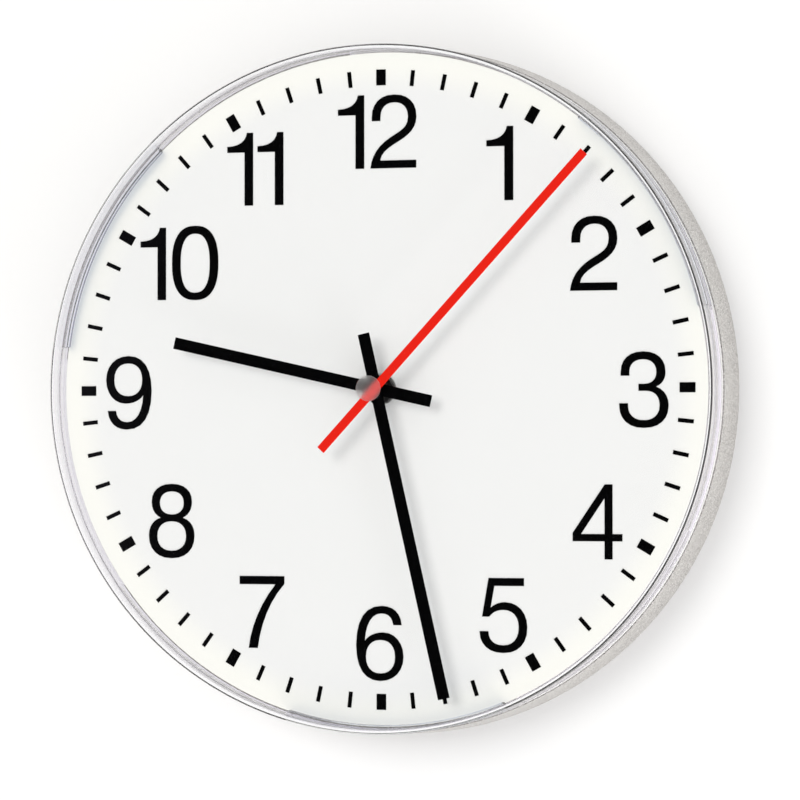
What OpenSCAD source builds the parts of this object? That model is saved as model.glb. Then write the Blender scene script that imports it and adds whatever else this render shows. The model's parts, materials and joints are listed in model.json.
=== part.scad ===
// Slave clock for a wall: silver case, printed dial, straight hands and a clear cover that twists on.
// The drawing plane is the wall: x to the right, y up, z out towards the reader.
// upright() then stands every piece up: the dial faces -Y, +Z is up, the origin is the middle of the back.

/* [Dial] */
// Radius of the dial disc
dial_r = 146.5; // [140:0.5:160]
// Thickness of the dial disc
dial_t = 1.5; // [1:0.1:2.5]
// Height of the dial's back above the wall
dial_z = 30.5; // [29:0.5:40]
// Thickness of the printed ink
ink_t = 0.15; // [0.1:0.05:0.3]
// Distance from the dial's edge in to the middle of the minute marks
mark_inset = 10.9; // [8:0.1:14]
// Length of a minute mark
mark_len = 6.9; // [4:0.1:8]
// Width of a minute mark
mark_w = 1.75; // [1:0.05:3]
// Width of a five-minute mark
block_w = 4.3; // [3:0.1:6]
// Gap between the minute marks and the circle that the numerals reach
numeral_gap = 4.15; // [1:0.05:12]
// Height of the numerals
numeral_h = 32; // [20:0.5:34]

/* [Case] */
// Wall of the case
case_wall = 2.2; // [1.6:0.1:3]
// Height of the neck that carries the cover, from the silver side up to the dial
neck_h = 7.5; // [7:0.1:12]
// Wall of the neck
neck_wall = 2; // [1.5:0.1:3]
// Width by which the silver side stands proud of the cover
case_lip = 0.7; // [0.3:0.1:3]
// Widening of the silver side from the cover down to the wall
case_flare = 1.8; // [0:0.1:5]
// Height of the stiffening ribs inside the back
rib_h = 5; // [3:0.5:8]
// Thickness of the stiffening ribs
rib_t = 1.8; // [1:0.1:3]
// Radius of the round rib about the movement
ring_rib_r = 50; // [48:0.5:52]

/* [Cover] */
// Thickness of the clear cover
cover_t = 1.2; // [1:0.1:2.2]
// Height of the cover's straight side above the dial's face
cover_side_h = 12.5; // [8:0.5:20]
// Width of the cover's rounded shoulder
shoulder_w = 2.5; // [2.5:0.5:10]
// Height of the cover's rounded shoulder
shoulder_h = 3; // [3:0.5:12]
// Rise of the domed front from the shoulder to the middle
dome_h = 5.5; // [2:0.5:12]
// Radius of the moulding mark at the middle of the cover
gate_r = 5.5; // [3:0.5:10]
// Height of the moulding mark
gate_t = 0.4; // [0.2:0.1:1]
// Gap under the cover's rim
rim_gap = 0.4; // [0.3:0.1:1]
// Width of the holding ribs above the dial's edge
hold_w = 2.3; // [2:0.1:4]
// Height of the holding ribs
hold_h = 4.8; // [2:0.1:6]

/* [Twist lock] */
// Width of each locking lug as an angle
lug_angle = 39; // [25:1:40]
// Clock angle of the first lug, clockwise from twelve
first_lug_angle = 57; // [40:1:80]
// Thickness of the locking lugs
lug_t = 2.8; // [2:0.1:3.4]
// Reach of the case's flange over the lugs
lug_grip = 0.7; // [0.6:0.1:2]
// Gap between the lugs and the neck, and between the flange and the cover
twist_gap = 0.3; // [0.2:0.05:0.6]
// Thickness of the case's flange over the lugs
flange_t = 2; // [1.5:0.1:3]
// Extra width of the gaps in the flange that let the lugs in, as an angle
extra_angle = 3; // [2:0.5:5]

/* [Hands] */
// Width of the hour and minute hands
hand_w = 5.2; // [4.4:0.1:8]
// Width of the second hand
second_w = 3.8; // [2.5:0.1:5]
// Thickness of the hour and minute hands
hand_t = 0.6; // [0.4:0.1:0.8]
// Thickness of the second hand
second_t = 0.5; // [0.3:0.1:0.7]
// Distance from the hour hand's tip out to the circle of the numerals' middles
hour_short = 17; // [5:1:40]
// Length of the minute and second hands past the middle of the marks
hand_overrun = 1.2; // [-5:0.1:3]
// Tail of the hour hand
hour_tail = 25; // [10:0.5:30]
// Tail of the minute hand
minute_tail = 24.5; // [10:0.5:30]
// Tail of the second hand
second_tail = 36; // [15:0.5:45]
// Height of the hour hand above the dial's face
hour_lift = 6.7; // [6.2:0.1:7]
// Space between one hand and the next
hand_space = 1; // [0.8:0.1:1.5]
// Clock angle of the hour hand at rest
hour_angle = 282.6; // [0:0.1:360]
// Clock angle of the minute hand at rest
minute_angle = 167.1; // [0:0.1:360]
// Clock angle of the second hand at rest
second_angle = 42.8; // [0:0.1:360]

/* [Movement] */
// Width and height of the movement's housing
mv_w = 64; // [62:0.5:70]
// Depth of the movement's housing
mv_depth = 20; // [20:0.5:24]
// Wall of the movement's housing
mv_wall = 1.6; // [1.2:0.1:2]
// Thickness of the movement's front plate
plate_t = 2; // [1.5:0.1:2.5]
// Thickness of the rubber washer between the movement and the dial
pad_t = 1; // [0.5:0.1:2]
// Radius of the threaded centre bush
bush_r = 4; // [3.6:0.1:5]
// Height of the centre bush above the dial's face
bush_out = 4; // [3.6:0.1:4.4]
// Width across the flats of the centre nut
nut_flats = 12; // [11:0.5:16]
// Thickness of the centre nut
nut_t = 2.5; // [2:0.1:3]
// Thickness of the metal washer under the centre nut
washer_t = 0.5; // [0.3:0.1:0.6]
// Radius of the second hand's arbor
arbor_r = 0.6; // [0.5:0.05:0.7]
// Wall of the minute pipe
minute_pipe_t = 0.5; // [0.4:0.05:0.6]
// Wall of the hour pipe
hour_pipe_t = 0.7; // [0.5:0.05:0.8]
// Running clearance between turning pieces
run = 0.06; // [0.03:0.01:0.1]
// Gap between pieces that are pressed together
seat = 0.01; // [0.01:0.01:0.03]
// Tooth module of the two stepping trains
train_m = 0.5; // [0.46:0.01:0.5]
// Tooth module of the twelve-to-one gears behind the dial
motion_m = 0.6; // [0.55:0.01:0.6]
// Thickness of the wheels
wheel_t = 1.2; // [0.8:0.1:1.4]
// Radius of the train pins
pin_r = 0.5; // [0.4:0.05:0.6]
// Wall of the sleeves that turn on the train pins
sleeve_t = 0.54; // [0.4:0.01:0.6]
// Radius of the rotor magnets
magnet_r = 3.6; // [2.5:0.1:4]
// Length of the rotor magnets
magnet_len = 3.6; // [2:0.1:4]
// Air gap between the magnets and the stators
air_gap = 0.8; // [0.5:0.1:1]
// Thickness of the stator plates
stator_t = 1.2; // [0.8:0.1:1.4]
// Clearance between a coil and the stator beside it
coil_gap = 1.4; // [0.6:0.1:1.6]

/* [Fixings] */
// Radius of the keyhole's round part
key_r = 4.5; // [3.5:0.1:6]
// Radius of the keyhole's slot
key_slot_r = 2.3; // [1.5:0.1:2.4]
// Distance from the dial's edge in to the keyhole's round part
key_inset = 34.5; // [29:0.5:45]
// Length of the keyhole's slot
key_len = 9; // [6:0.5:12]
// Thickness of the steel hanging plate
key_plate_t = 1.5; // [1:0.1:2]
// Side of the square hanging plate
key_plate_w = 34; // [30:1:36]
// Radius of the two lower fixing holes
fix_r = 2.3; // [1.5:0.1:3]
// Distance between the two lower fixing holes
fix_pitch = 120; // [100:1:140]
// Distance from the dial's edge up to the two lower fixing holes
fix_inset = 56.5; // [50:0.5:65]
// Radius of the cable hole through the grommet
cable_r = 4; // [2:0.1:5]
// Distance from the round rib up to the middle of the cable hole
cable_out = 17; // [14:0.5:22]
// Radius of the pillars that carry the dial's studs
pillar_r = 5; // [4.5:0.1:7]
// Distance from the dial's edge in to the dial's studs
stud_inset = 28.5; // [20:0.5:40]
// Radius of the dial's studs
stud_r = 2; // [1.5:0.1:2.2]

/* [Hidden] */
$fn = 96;

// Margin by which a cut passes the face that it opens
cut = 0.5;
// Points in each rounded quarter of a profile
quarter_steps = 6;

// Heights above the wall
face_z = dial_z + dial_t;
case_side_z = dial_z - neck_h;
lug_z = dial_z - flange_t - twist_gap - lug_t;
cover_z0 = case_side_z + rim_gap;
cover_side_z = face_z + cover_side_h;
cover_front_z = cover_side_z + shoulder_h;
cover_top_z = cover_front_z + dome_h;

// Radii from the dial outwards
neck_r = dial_r;
lug_r = neck_r + twist_gap;
flange_r = lug_r + lug_grip;
skirt_r = flange_r + twist_gap;
cover_r = skirt_r + cover_t;
case_front_r = cover_r + case_lip;
case_back_r = case_front_r + case_flare;

// Twist lock
lug_count = 3;
pitch_angle = 360 / lug_count;
gap_angle = lug_angle + extra_angle;
spare_angle = 0.5;
stop_gap_angle = 0.7;
twist_angle = gap_angle + spare_angle;
stop_from_angle = lug_angle / 2 + stop_gap_angle;
stop_to_angle = pitch_angle - twist_angle - lug_angle / 2 - stop_gap_angle;

// Dial print
mark_r = dial_r - mark_inset;
numeral_r = mark_r - mark_len / 2 - numeral_gap - numeral_h / 2;
glyph_h = 32;
numeral_k = numeral_h / glyph_h;
// Small shifts of each numeral from its even place on the circle, one to twelve
numeral_shift = [[-2.6, 0], [-2.2, 1.6], [4.7, -1], [-0.7, -1.2], [-1.2, -0.5], [-0.7, 1.6],
                 [1.5, 0], [0.5, -1.9], [-4.7, -1], [4, 0], [-1.6, 0], [-1.8, 0]];
// Widths of the digits nought to nine, and the space after a one before another one or a round digit
digit_w = [21.6, 12, 20.8, 21.4, 21.8, 21.1, 21.4, 20.5, 21, 21.4];
one_space = 2;
round_space = 2.8;

// Heights of the hands
hour_z = face_z + hour_lift;
minute_z = hour_z + hand_t + hand_space;
second_z = minute_z + hand_t + hand_space;
collar_gap = 0.4;
collar_w = 1.2;
second_collar_w = 0.9;
collar_t = hand_space - collar_gap;
hour_collar_t = 1.2;
hour_len = numeral_r - hour_short;
minute_len = mark_r + hand_overrun;
second_len = mark_r + hand_overrun;
arbor_out = 0.1;
arbor_top_z = second_z + second_t + arbor_out;

// Pipes on the centre line
minute_bore_r = arbor_r + run;
minute_pipe_r = minute_bore_r + minute_pipe_t;
hour_bore_r = minute_pipe_r + run;
hour_pipe_r = hour_bore_r + hour_pipe_t;
bush_bore_r = hour_pipe_r + run;
bush_flange_r = bush_r + 2;
bush_flange_t = 0.7;
thread_gap = 0.05;
pad_r = 12;
washer_r = nut_flats / 2 + 0.8;
nut_slope = 1.6;

// Movement, measured from its rear face
mv_z0 = dial_z - pad_t - mv_depth;
mv_plate_z = mv_z0 + mv_depth - plate_t;
mv_floor_z = mv_z0 + mv_wall;
mv_half = mv_w / 2;
mv_corner_r = 5;
boss_r = 3;
boss_inset = 4;
boss_at = mv_half - boss_inset;
screw_r = 1.2;
screw_gap = 0.1;
screw_head_t = 1.2;
pipe_under = 0.4;
motion_pin_under = 0.2;
motion_head_t = 0.3;
motion_head_gap = 0.05;
level_step = (mv_plate_z - mv_floor_z) / 16.4;
rotor_m_z = mv_floor_z + 1.3 * level_step;
rotor_s_z = mv_floor_z + 3.5 * level_step;
seconds_z = mv_floor_z + 5.7 * level_step;
stator_z = mv_floor_z + 7.5 * level_step;
centre_z = mv_floor_z + 9.3 * level_step;
cannon_z = mv_floor_z + 11.5 * level_step;
hour_wheel_z = mv_floor_z + 13.9 * level_step;
pinion_over = 0.2;
sleeve_gap = 0.2;
sleeve_bore_r = pin_r + run;
sleeve_r = sleeve_bore_r + sleeve_t;
pin_sink = 0.8;

// Teeth: an eight-leaf pinion drives forty teeth, then eight drives forty-eight
leaves = 8;
first_n = 40;
last_n = 48;
// Ten to thirty and eight to thirty-two make twelve to one
cannon_n = 10;
motion_n = 30;
motion_leaves = 8;
hour_n = 32;
tooth_top = 0.9;
tooth_root = 1.25;
tooth_top_w = 0.1;
tooth_root_w = 0.3;
first_gap = train_m * (leaves + first_n) / 2;
last_gap = train_m * (leaves + last_n) / 2;
motion_gap = motion_m * (cannon_n + motion_n) / 2;

// Places of the trains: minutes on the left, seconds on the right
minute_mid = [-last_gap, 0];
second_mid = [last_gap, 0];
minute_rotor = [-last_gap, -first_gap];
second_rotor = [last_gap, -first_gap];
motion_mid = [0, motion_gap];

// Coils and stators below the rotors
stator_rim = 1;
stator_bridge = 2.2;
stator_side_gap = 0.5;
stator_foot_gap = 1.8;
stator_leg_w = 4;
stator_w = 2 * (boss_at - boss_r - stator_side_gap - last_gap);
stator_foot_y = -(mv_half - mv_wall - stator_foot_gap);
stator_head_y = -(first_gap - magnet_r - air_gap - stator_rim);
stator_window_y = -(first_gap + magnet_r + air_gap + stator_bridge);
core_w = 3.6;
core_h = 2;
core_len = stator_w - 0.5;
coil_wall_gap = 0.4;
coil_end_gap = 0.5;
coil_len = stator_w - 2 * stator_leg_w - 2 * coil_end_gap;
bobbin_t = 1;
bobbin_edge = 0.6;
bobbin_tube_r = core_w / 2 + 0.9;
bobbin_flange = (mv_half - mv_wall - coil_wall_gap + stator_window_y - coil_gap) / 2;
coil_r = bobbin_flange - bobbin_edge;
coil_y = -(mv_half - mv_wall - coil_wall_gap - bobbin_flange);
coil_z = stator_z - core_h / 2;

// Circuit board at the top of the housing
board_side_gap = 9;
board_top_gap = 2.5;
board_wheel_gap = 2.55;
board_w = mv_w - 2 * board_side_gap;
board_y = train_m * (first_n / 2 + tooth_top) + board_wheel_gap;
board_h = mv_half - board_top_gap - board_y;
board_mid_y = board_y + board_h / 2;
board_t = 1.6;
board_z = mv_floor_z + 1.2;
board_face_z = board_z + board_t;
chip_at = [-9, board_mid_y];
chip_size = [9.8, 6.4, 2];
capacitor_at = [13, board_mid_y + 2];
capacitor_r = 3.1;
capacitor_h = 7;
resistor_at = [-0.5, board_mid_y - 3];
resistor_size = [1.3, 3, 0.6];
resistor_pitch = 2.6;
post_r = 1.6;
peg_r = 0.8;
peg_out = 0.6;
post_at = board_w / 2 - 3;
terminal_w = 16;
block_h = 8.4;
block_top_gap = 3.1;
block_y = mv_half - block_top_gap - block_h;
block_wall_gap = 2.1;
block_drop = board_z - case_wall - block_wall_gap;
block_hole_r = 1.3;
block_screw_r = 1.5;
block_pitch = 7.5;
block_hole_drop = 0.55 * block_drop;
block_screw_bite = 0.6;
block_screw_sink = 0.4;
window_gap = 0.5;

// Fixings in the case
cable_y = ring_rib_r + cable_out;
key_y = dial_r - key_inset;
fix_y = fix_inset - dial_r;
fix_pad_r = 2 * fix_r + 1;
fix_pad_h = 1;
rib_angles = [30, 90, 150, 210, 270, 330];
pocket_depth = 5;
pocket_margin = 1;
pocket_roof = 1.5;
pad_margin = 4;
key_pad_w = key_plate_w + 2 * pad_margin;
key_pad_z = key_plate_t + pocket_depth + pocket_roof;
key_screw_at = key_plate_w / 2 - 4;
key_screw_r = 1.4;
plate_gap = 0.2;
grommet_r = cable_r + 4;
grommet_flange_r = grommet_r + 2.8;
grommet_sink = 1.2;
grommet_web = 2;
grommet_pad_r = grommet_flange_r + 2;
fit_gap = 0.05;
socket_t = 1.5;
socket_r = stud_r + fit_gap + socket_t;
socket_len = 7.5;
socket_rim_t = 1;
stud_angles = [60, 180, 300];
stud_ring_r = dial_r - stud_inset;
stud_floor = 1;
stud_head_r = 4.5;
stud_head_t = 0.6;
stud_sink = 6.2;
stud_gap = 0.3;
pillar_z = dial_z - stud_head_t - stud_gap - socket_rim_t;

// Colours
silver = [0.75, 0.74, 0.72];
clear = [0.9, 0.95, 1, 0.25];
steel = [0.7, 0.7, 0.72];
brass = [0.8, 0.65, 0.3];
copper = [0.75, 0.4, 0.2];
pale_plastic = [0.88, 0.88, 0.84];

// Stands a piece up: drawn with z out of the wall, placed with -Y out of the wall
module upright() rotate([90, 0, 0]) children();

// Turns what is drawn at twelve o'clock to a clock angle
module at_clock(angle) rotate([0, 0, -angle]) children();

// Round piece between two heights
module disc(r, z0, z1) translate([0, 0, z0]) cylinder(r = r, h = z1 - z0);

// Ring or pipe between two heights
module pipe(r, bore, z0, z1) difference() {
    disc(r, z0, z1);
    disc(bore, z0 - cut, z1 + cut);
}

// Flat bar centred on x, from one y to another and between two heights
module bar(w, y0, y1, z0, z1) translate([-w / 2, y0, z0]) cube([w, y1 - y0, z1 - z0]);

// Piece of a ring from one clock angle to another, less than half a turn
module ring_piece(r, bore, z0, z1, from, to) intersection() {
    pipe(r, bore, z0, z1);
    translate([0, 0, z0 - cut]) linear_extrude(z1 - z0 + 2 * cut)
        polygon([[0, 0],
                 2 * r * [sin(from), cos(from)],
                 2 * r * [sin((from + to) / 2), cos((from + to) / 2)],
                 2 * r * [sin(to), cos(to)]]);
}

// Rounded square outline
module rounded_square(w, r) {
    square([w - 2 * r, w], center = true);
    square([w, w - 2 * r], center = true);
    for (x = [-1, 1], y = [-1, 1]) translate([x * (w / 2 - r), y * (w / 2 - r)]) circle(r);
}

// Points of a quarter of an ellipse about the axis, from its side to its top
function quarter(r_in, w, z0, h) =
    [for (i = [0 : quarter_steps]) let (a = 90 * i / quarter_steps) [r_in + w * cos(a), z0 + h * sin(a)]];

// Points of the domed front, from its edge to the axis
function dome(r, z0, rise) =
    let (big_r = (r * r + rise * rise) / (2 * rise), steps = 2 * quarter_steps)
    [for (i = [1 : steps]) let (x = r * (1 - i / steps))
        [x, z0 + rise - big_r + sqrt(big_r * big_r - x * x)]];

// Toothed wheel: straight-sided teeth, one of them on the +x side before it is turned
module teeth(n, m, z0, t, turned) translate([0, 0, z0]) linear_extrude(t) rotate(turned)
    polygon([for (i = [0 : n - 1], side = [[m * (n / 2 - tooth_root), -tooth_root_w],
                                           [m * (n / 2 + tooth_top), -tooth_top_w],
                                           [m * (n / 2 + tooth_top), tooth_top_w],
                                           [m * (n / 2 - tooth_root), tooth_root_w]])
                 side[0] * [cos(360 / n * (i + side[1])), sin(360 / n * (i + side[1]))]]);

// Angle at which a wheel of n teeth shows a gap towards the direction that is given
function gap_towards(direction, n) = direction + 180 / n;

// Rear case: back, flared side, shoulder and the neck with its flange
module rear_case() color(silver) upright() difference() {
    union() {
        rotate_extrude() polygon([
            [0, 0], [case_back_r, 0], [case_front_r, case_side_z], [neck_r, case_side_z],
            [neck_r, dial_z], [neck_r - neck_wall, dial_z], [neck_r - neck_wall, case_side_z - case_wall],
            [case_front_r - case_wall, case_side_z - case_wall], [case_back_r - case_wall, case_wall],
            [0, case_wall]]);
        for (i = [0 : lug_count - 1]) {
            mid = first_lug_angle + i * pitch_angle;
            ring_piece(flange_r, neck_r - neck_wall / 2, dial_z - flange_t, dial_z,
                       mid - twist_angle + gap_angle / 2, mid + pitch_angle - twist_angle - gap_angle / 2);
            ring_piece(flange_r, neck_r - neck_wall / 2, lug_z, dial_z,
                       mid + stop_from_angle, mid + stop_to_angle);
        }
        pipe(ring_rib_r, ring_rib_r - rib_t, case_wall - cut, case_wall + rib_h);
        for (a = rib_angles) at_clock(a)
            bar(rib_t, ring_rib_r - rib_t / 2, case_front_r - case_wall,
                case_wall - cut, case_wall + rib_h);
        for (a = stud_angles) at_clock(a) translate([0, stud_ring_r, 0])
            disc(pillar_r, case_wall - cut, pillar_z);
        translate([0, key_y + key_len / 2, 0])
            bar(key_pad_w, -key_pad_w / 2, key_pad_w / 2, cut, key_pad_z);
        translate([0, cable_y, 0]) disc(grommet_pad_r, cut, grommet_sink + grommet_web);
        for (x = [-1, 1]) translate([x * fix_pitch / 2, fix_y, 0])
            disc(fix_pad_r, cut, case_wall + fix_pad_h);
    }
    for (a = stud_angles) at_clock(a) translate([0, stud_ring_r, 0])
        disc(socket_r + fit_gap, pillar_z - socket_len - fit_gap, pillar_z + cut);
    translate([0, key_y + key_len / 2, 0])
        bar(key_plate_w + 2 * plate_gap, -key_plate_w / 2 - plate_gap, key_plate_w / 2 + plate_gap,
            -cut, key_plate_t + plate_gap);
    translate([0, key_y, 0]) {
        disc(key_r + pocket_margin, 0, key_plate_t + pocket_depth);
        translate([0, key_len, 0]) disc(key_r + pocket_margin, 0, key_plate_t + pocket_depth);
        bar(2 * (key_r + pocket_margin), 0, key_len, 0, key_plate_t + pocket_depth);
        for (x = [-1, 1]) translate([x * key_screw_at, key_len / 2, 0])
            disc(key_screw_r + fit_gap, 0, key_plate_t + pocket_depth);
    }
    translate([0, cable_y, 0]) {
        disc(grommet_flange_r + fit_gap, -cut, grommet_sink);
        disc(grommet_r + fit_gap, -cut, grommet_sink + grommet_web + cut);
    }
    for (x = [-1, 1]) translate([x * fix_pitch / 2, fix_y, 0])
        disc(fix_r, -cut, case_wall + fix_pad_h + cut);
}

// Steel plate with the keyhole, let into the back of the case
module hanging_plate() color(steel) upright() translate([0, key_y, 0]) difference() {
    bar(key_plate_w, key_len / 2 - key_plate_w / 2, key_len / 2 + key_plate_w / 2,
        plate_gap, plate_gap + key_plate_t);
    disc(key_r, 0, key_plate_t + cut);
    translate([0, key_len, 0]) disc(key_slot_r, 0, key_plate_t + cut);
    bar(2 * key_slot_r, 0, key_len, 0, key_plate_t + cut);
    for (x = [-1, 1]) translate([x * key_screw_at, key_len / 2, 0]) {
        disc(2 * key_screw_r + fit_gap, 0, plate_gap);
        key_screw_head(fit_gap);
        disc(key_screw_r + fit_gap, 0, key_plate_t + cut);
    }
}

// Cone of a countersunk head, widened by a gap for the hole that it lies in
module key_screw_head(gap) translate([0, 0, plate_gap])
    cylinder(r1 = 2 * key_screw_r + gap, r2 = key_screw_r + gap, h = key_plate_t - plate_gap);

// Countersunk screws of the hanging plate
module hanging_plate_screws() color(steel) upright()
    for (x = [-1, 1]) translate([x * key_screw_at, key_y + key_len / 2, 0]) {
        key_screw_head(0);
        disc(key_screw_r, key_plate_t - cut, key_plate_t + pocket_depth - fit_gap);
    }

// Rubber grommet in the cable hole
module cable_grommet() color("black") upright() translate([0, cable_y, 0]) difference() {
    union() {
        disc(grommet_flange_r, 0, grommet_sink);
        disc(grommet_r, 0, grommet_sink + grommet_web + cut);
        disc(grommet_flange_r, grommet_sink + grommet_web, 2 * grommet_sink + grommet_web);
    }
    disc(cable_r, -cut, 2 * grommet_sink + grommet_web + cut);
}

// Nylon sockets in the pillars that grip the dial's studs
module stud_sockets() color(pale_plastic) upright()
    for (a = stud_angles) at_clock(a) translate([0, stud_ring_r, 0]) difference() {
        union() {
            disc(socket_r, pillar_z - socket_len, pillar_z + socket_rim_t);
            disc(pillar_r, pillar_z, pillar_z + socket_rim_t);
        }
        disc(stud_r + fit_gap, pillar_z - socket_len + stud_floor, pillar_z + socket_rim_t + cut);
    }

// Dial disc
module dial() color("white") upright() pipe(dial_r, bush_r + thread_gap, dial_z, face_z);

// Studs welded to the back of the dial
module dial_studs() color(steel) upright()
    for (a = stud_angles) at_clock(a) translate([0, stud_ring_r, 0]) {
        disc(stud_head_r, dial_z - stud_head_t, dial_z);
        disc(stud_r, pillar_z - stud_sink, dial_z - stud_head_t);
    }

// One printed bar for each minute
module minute_marks() color("black") upright()
    for (i = [0 : 59]) at_clock(6 * i)
        bar(i % 5 == 0 ? block_w : mark_w, mark_r - mark_len / 2, mark_r + mark_len / 2,
            face_z, face_z + ink_t);

// Points of a curve from one point to another with two pulls
function curve(a, b, c, d, steps = 6) =
    [for (i = [1 : steps]) let (t = i / steps, u = 1 - t)
        u * u * u * a + 3 * u * u * t * b + 3 * u * t * t * c + t * t * t * d];

// Signed power, for the squarish rounds of the digits
function lift(x, p) = sign(x) * pow(abs(x), p);

// Points of a squarish round from one angle to another
function round_part(mid, rx, ry, from, to, square_by = 2.25, steps = 6) =
    [for (i = [0 : steps]) let (a = from + (to - from) * i / steps)
        mid + [rx * lift(cos(a), 2 / square_by), ry * lift(sin(a), 2 / square_by)]];

// Digits, each drawn 32 high on a base line at nought
module digit_0() difference() {
    polygon(round_part([10.8, 16.2], 10.8, 16.4, 0, 352.5, 2.45, 47));
    polygon(round_part([10.8, 16.1], 6.8, 13, 0, 352.5, 2.45, 47));
}

module digit_1() polygon(concat(
    [[8, 0], [11.95, 0], [11.95, 32], [9.1, 32]],
    curve([9.1, 32], [8.5, 28.2], [5.5, 26.1], [0, 26]),
    [[0, 23.4], [8, 23.4]]));

module digit_2() polygon(concat(
    [[4.4, 3.4], [20.7, 3.4], [20.7, 0], [0, 0]],
    curve([0, 0], [0.5, 5.6], [3.6, 10], [8.9, 13.3]),
    curve([8.9, 13.3], [13.6, 16.2], [17, 17.4], [17, 22.2]),
    round_part([10.75, 22.2], 6.25, 6.4, 15, 180, steps = 11),
    [[4.5, 20.6], [0.6, 20.6]],
    round_part([10.7, 22.2], 10.1, 9.8, 180, 0, steps = 12),
    curve([20.8, 22.2], [20.8, 17.2], [17.2, 14.2], [13.2, 11.9]),
    curve([13.2, 11.9], [8, 8.9], [4.9, 7], [4.4, 3.4], 5)));

module digit_3() polygon(concat(
    [[4.35, 22.1], [0.5, 22.1]],
    round_part([10.3, 23.6], 9.75, 8.8, 180, 0, steps = 12),
    curve([20.05, 23.6], [20.05, 20.6], [18.6, 18.4], [15.9, 17.4]),
    curve([15.9, 17.4], [19.4, 16.2], [21.4, 13.2], [21.4, 9.5], 5),
    round_part([10.65, 9.5], 10.75, 9.7, 0, -180, steps = 12),
    [[-0.1, 10.35], [3.7, 10.35]],
    round_part([10.6, 9.5], 6.9, 6.4, -180, 0, steps = 12),
    curve([17.5, 9.5], [17.5, 13.4], [15.2, 15.6], [11.5, 15.6]),
    [[8.3, 15.6], [8.3, 18.6], [11, 18.6]],
    curve([11, 18.6], [14.2, 18.6], [16.1, 20.6], [16.1, 23.6], 5),
    round_part([10.2, 23.6], 5.9, 5.45, 0, 180, steps = 12)));

module digit_4() difference() {
    polygon([[14, 0], [17.5, 0], [17.5, 7.7], [21.8, 7.7], [21.8, 10.8], [17.5, 10.8], [17.5, 32],
             [14.1, 32], [0, 11.3], [0, 7.7], [14, 7.7]]);
    polygon([[3.65, 10.8], [14, 10.8], [14, 26.1]]);
}

module digit_5() polygon(concat(
    [[3.9, 32], [19.65, 32], [19.65, 28.6], [6.5, 28.6], [4.8, 19.2]],
    curve([4.8, 19.2], [6.4, 20.7], [8.8, 21.65], [11.1, 21.65]),
    curve([11.1, 21.65], [16.9, 21.65], [21.1, 17.4], [21.1, 10.9]),
    round_part([10.5, 10.9], 10.6, 11.1, -15, -90, steps = 5),
    round_part([10.5, 9.1], 10.6, 9.3, -105, -180, steps = 5),
    [[3.8, 9.1]],
    round_part([10.4, 9.1], 6.6, 6, -165, -90, steps = 5),
    round_part([10.4, 10.9], 6.9, 7.8, -75, 0, steps = 5),
    round_part([10.4, 10.9], 6.9, 7.4, 15, 90, steps = 5),
    curve([10.4, 18.3], [7.6, 18.3], [5.4, 17.1], [4.2, 15.35]),
    [[1, 15.35]]));

module digit_6() difference() {
    polygon(concat(
        [[16.8, 24.1], [20.6, 24.1]],
        curve([20.6, 24.1], [20.2, 29.4], [16.8, 32.4], [11.6, 32.4]),
        curve([11.6, 32.4], [4.2, 32.4], [0, 26.6], [0, 15.2]),
        curve([0, 15.2], [0, 5.4], [3.8, -0.2], [10.8, -0.2]),
        curve([10.8, -0.2], [17.2, -0.2], [21.4, 4.2], [21.4, 10.4]),
        curve([21.4, 10.4], [21.4, 16.4], [17.6, 20.9], [12.2, 20.9]),
        curve([12.2, 20.9], [8.6, 20.9], [5.4, 19.5], [3.9, 17.1]),
        curve([3.9, 17.1], [4.3, 24.8], [7.2, 29.1], [11.4, 29.1]),
        curve([11.4, 29.1], [14.6, 29.1], [16.4, 27.4], [16.8, 24.1], 5)));
    polygon(round_part([11, 10.35], 6.6, 7.25, 0, 345, steps = 23));
}

module digit_7() polygon(concat(
    [[-0.1, 27.9], [-0.1, 31.5], [20.5, 31.5], [20.5, 28.1]],
    curve([20.5, 28.1], [13.6, 20.6], [9.6, 10.6], [8.25, 0]),
    [[4.1, 0]],
    curve([4.1, 0], [5.2, 9.6], [9.6, 19.6], [16.4, 27.9])));

module digit_8() difference() {
    polygon(concat(
        round_part([10.5, 24.8], 9.4, 7.9, 180, 0, steps = 12),
        curve([19.9, 24.8], [19.9, 21.4], [18.3, 18.9], [15.6, 17.8]),
        curve([15.6, 17.8], [19, 16.8], [21.1, 14], [21.1, 10], 5),
        round_part([10.45, 10], 10.65, 10.1, 0, -180, steps = 12),
        curve([-0.2, 10], [-0.2, 14], [1.9, 16.8], [5.3, 17.8]),
        curve([5.3, 17.8], [2.7, 18.9], [1.1, 21.4], [1.1, 24.8], 5)));
    polygon(round_part([10.5, 24.3], 5.6, 5.1, 0, 345, steps = 23));
    polygon(round_part([10.45, 9.7], 6.75, 6.5, 0, 345, steps = 23));
}

module digit(d) {
    if (d == 0) digit_0();
    if (d == 1) digit_1();
    if (d == 2) digit_2();
    if (d == 3) digit_3();
    if (d == 4) digit_4();
    if (d == 5) digit_5();
    if (d == 6) digit_6();
    if (d == 7) digit_7();
    if (d == 8) digit_8();
    if (d == 9) translate([digit_w[9], glyph_h + 0.2]) rotate(180) digit_6();
}

// Numerals one to twelve, upright on the circle of the hours
module numerals() color("black") upright() translate([0, 0, face_z]) linear_extrude(ink_t)
    for (hour = [1 : 12]) {
        digits = hour < 10 ? [hour] : [1, hour - 10];
        second_x = digit_w[1] + (hour == 11 ? one_space : round_space);
        wide = len(digits) == 1 ? digit_w[hour] : second_x + digit_w[hour - 10];
        translate(numeral_r * [sin(30 * hour), cos(30 * hour)] + numeral_shift[hour - 1])
            scale(numeral_k) translate([-wide / 2, -glyph_h / 2]) {
                digit(digits[0]);
                if (len(digits) == 2) translate([second_x, 0]) digit(digits[1]);
            }
    }

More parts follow.
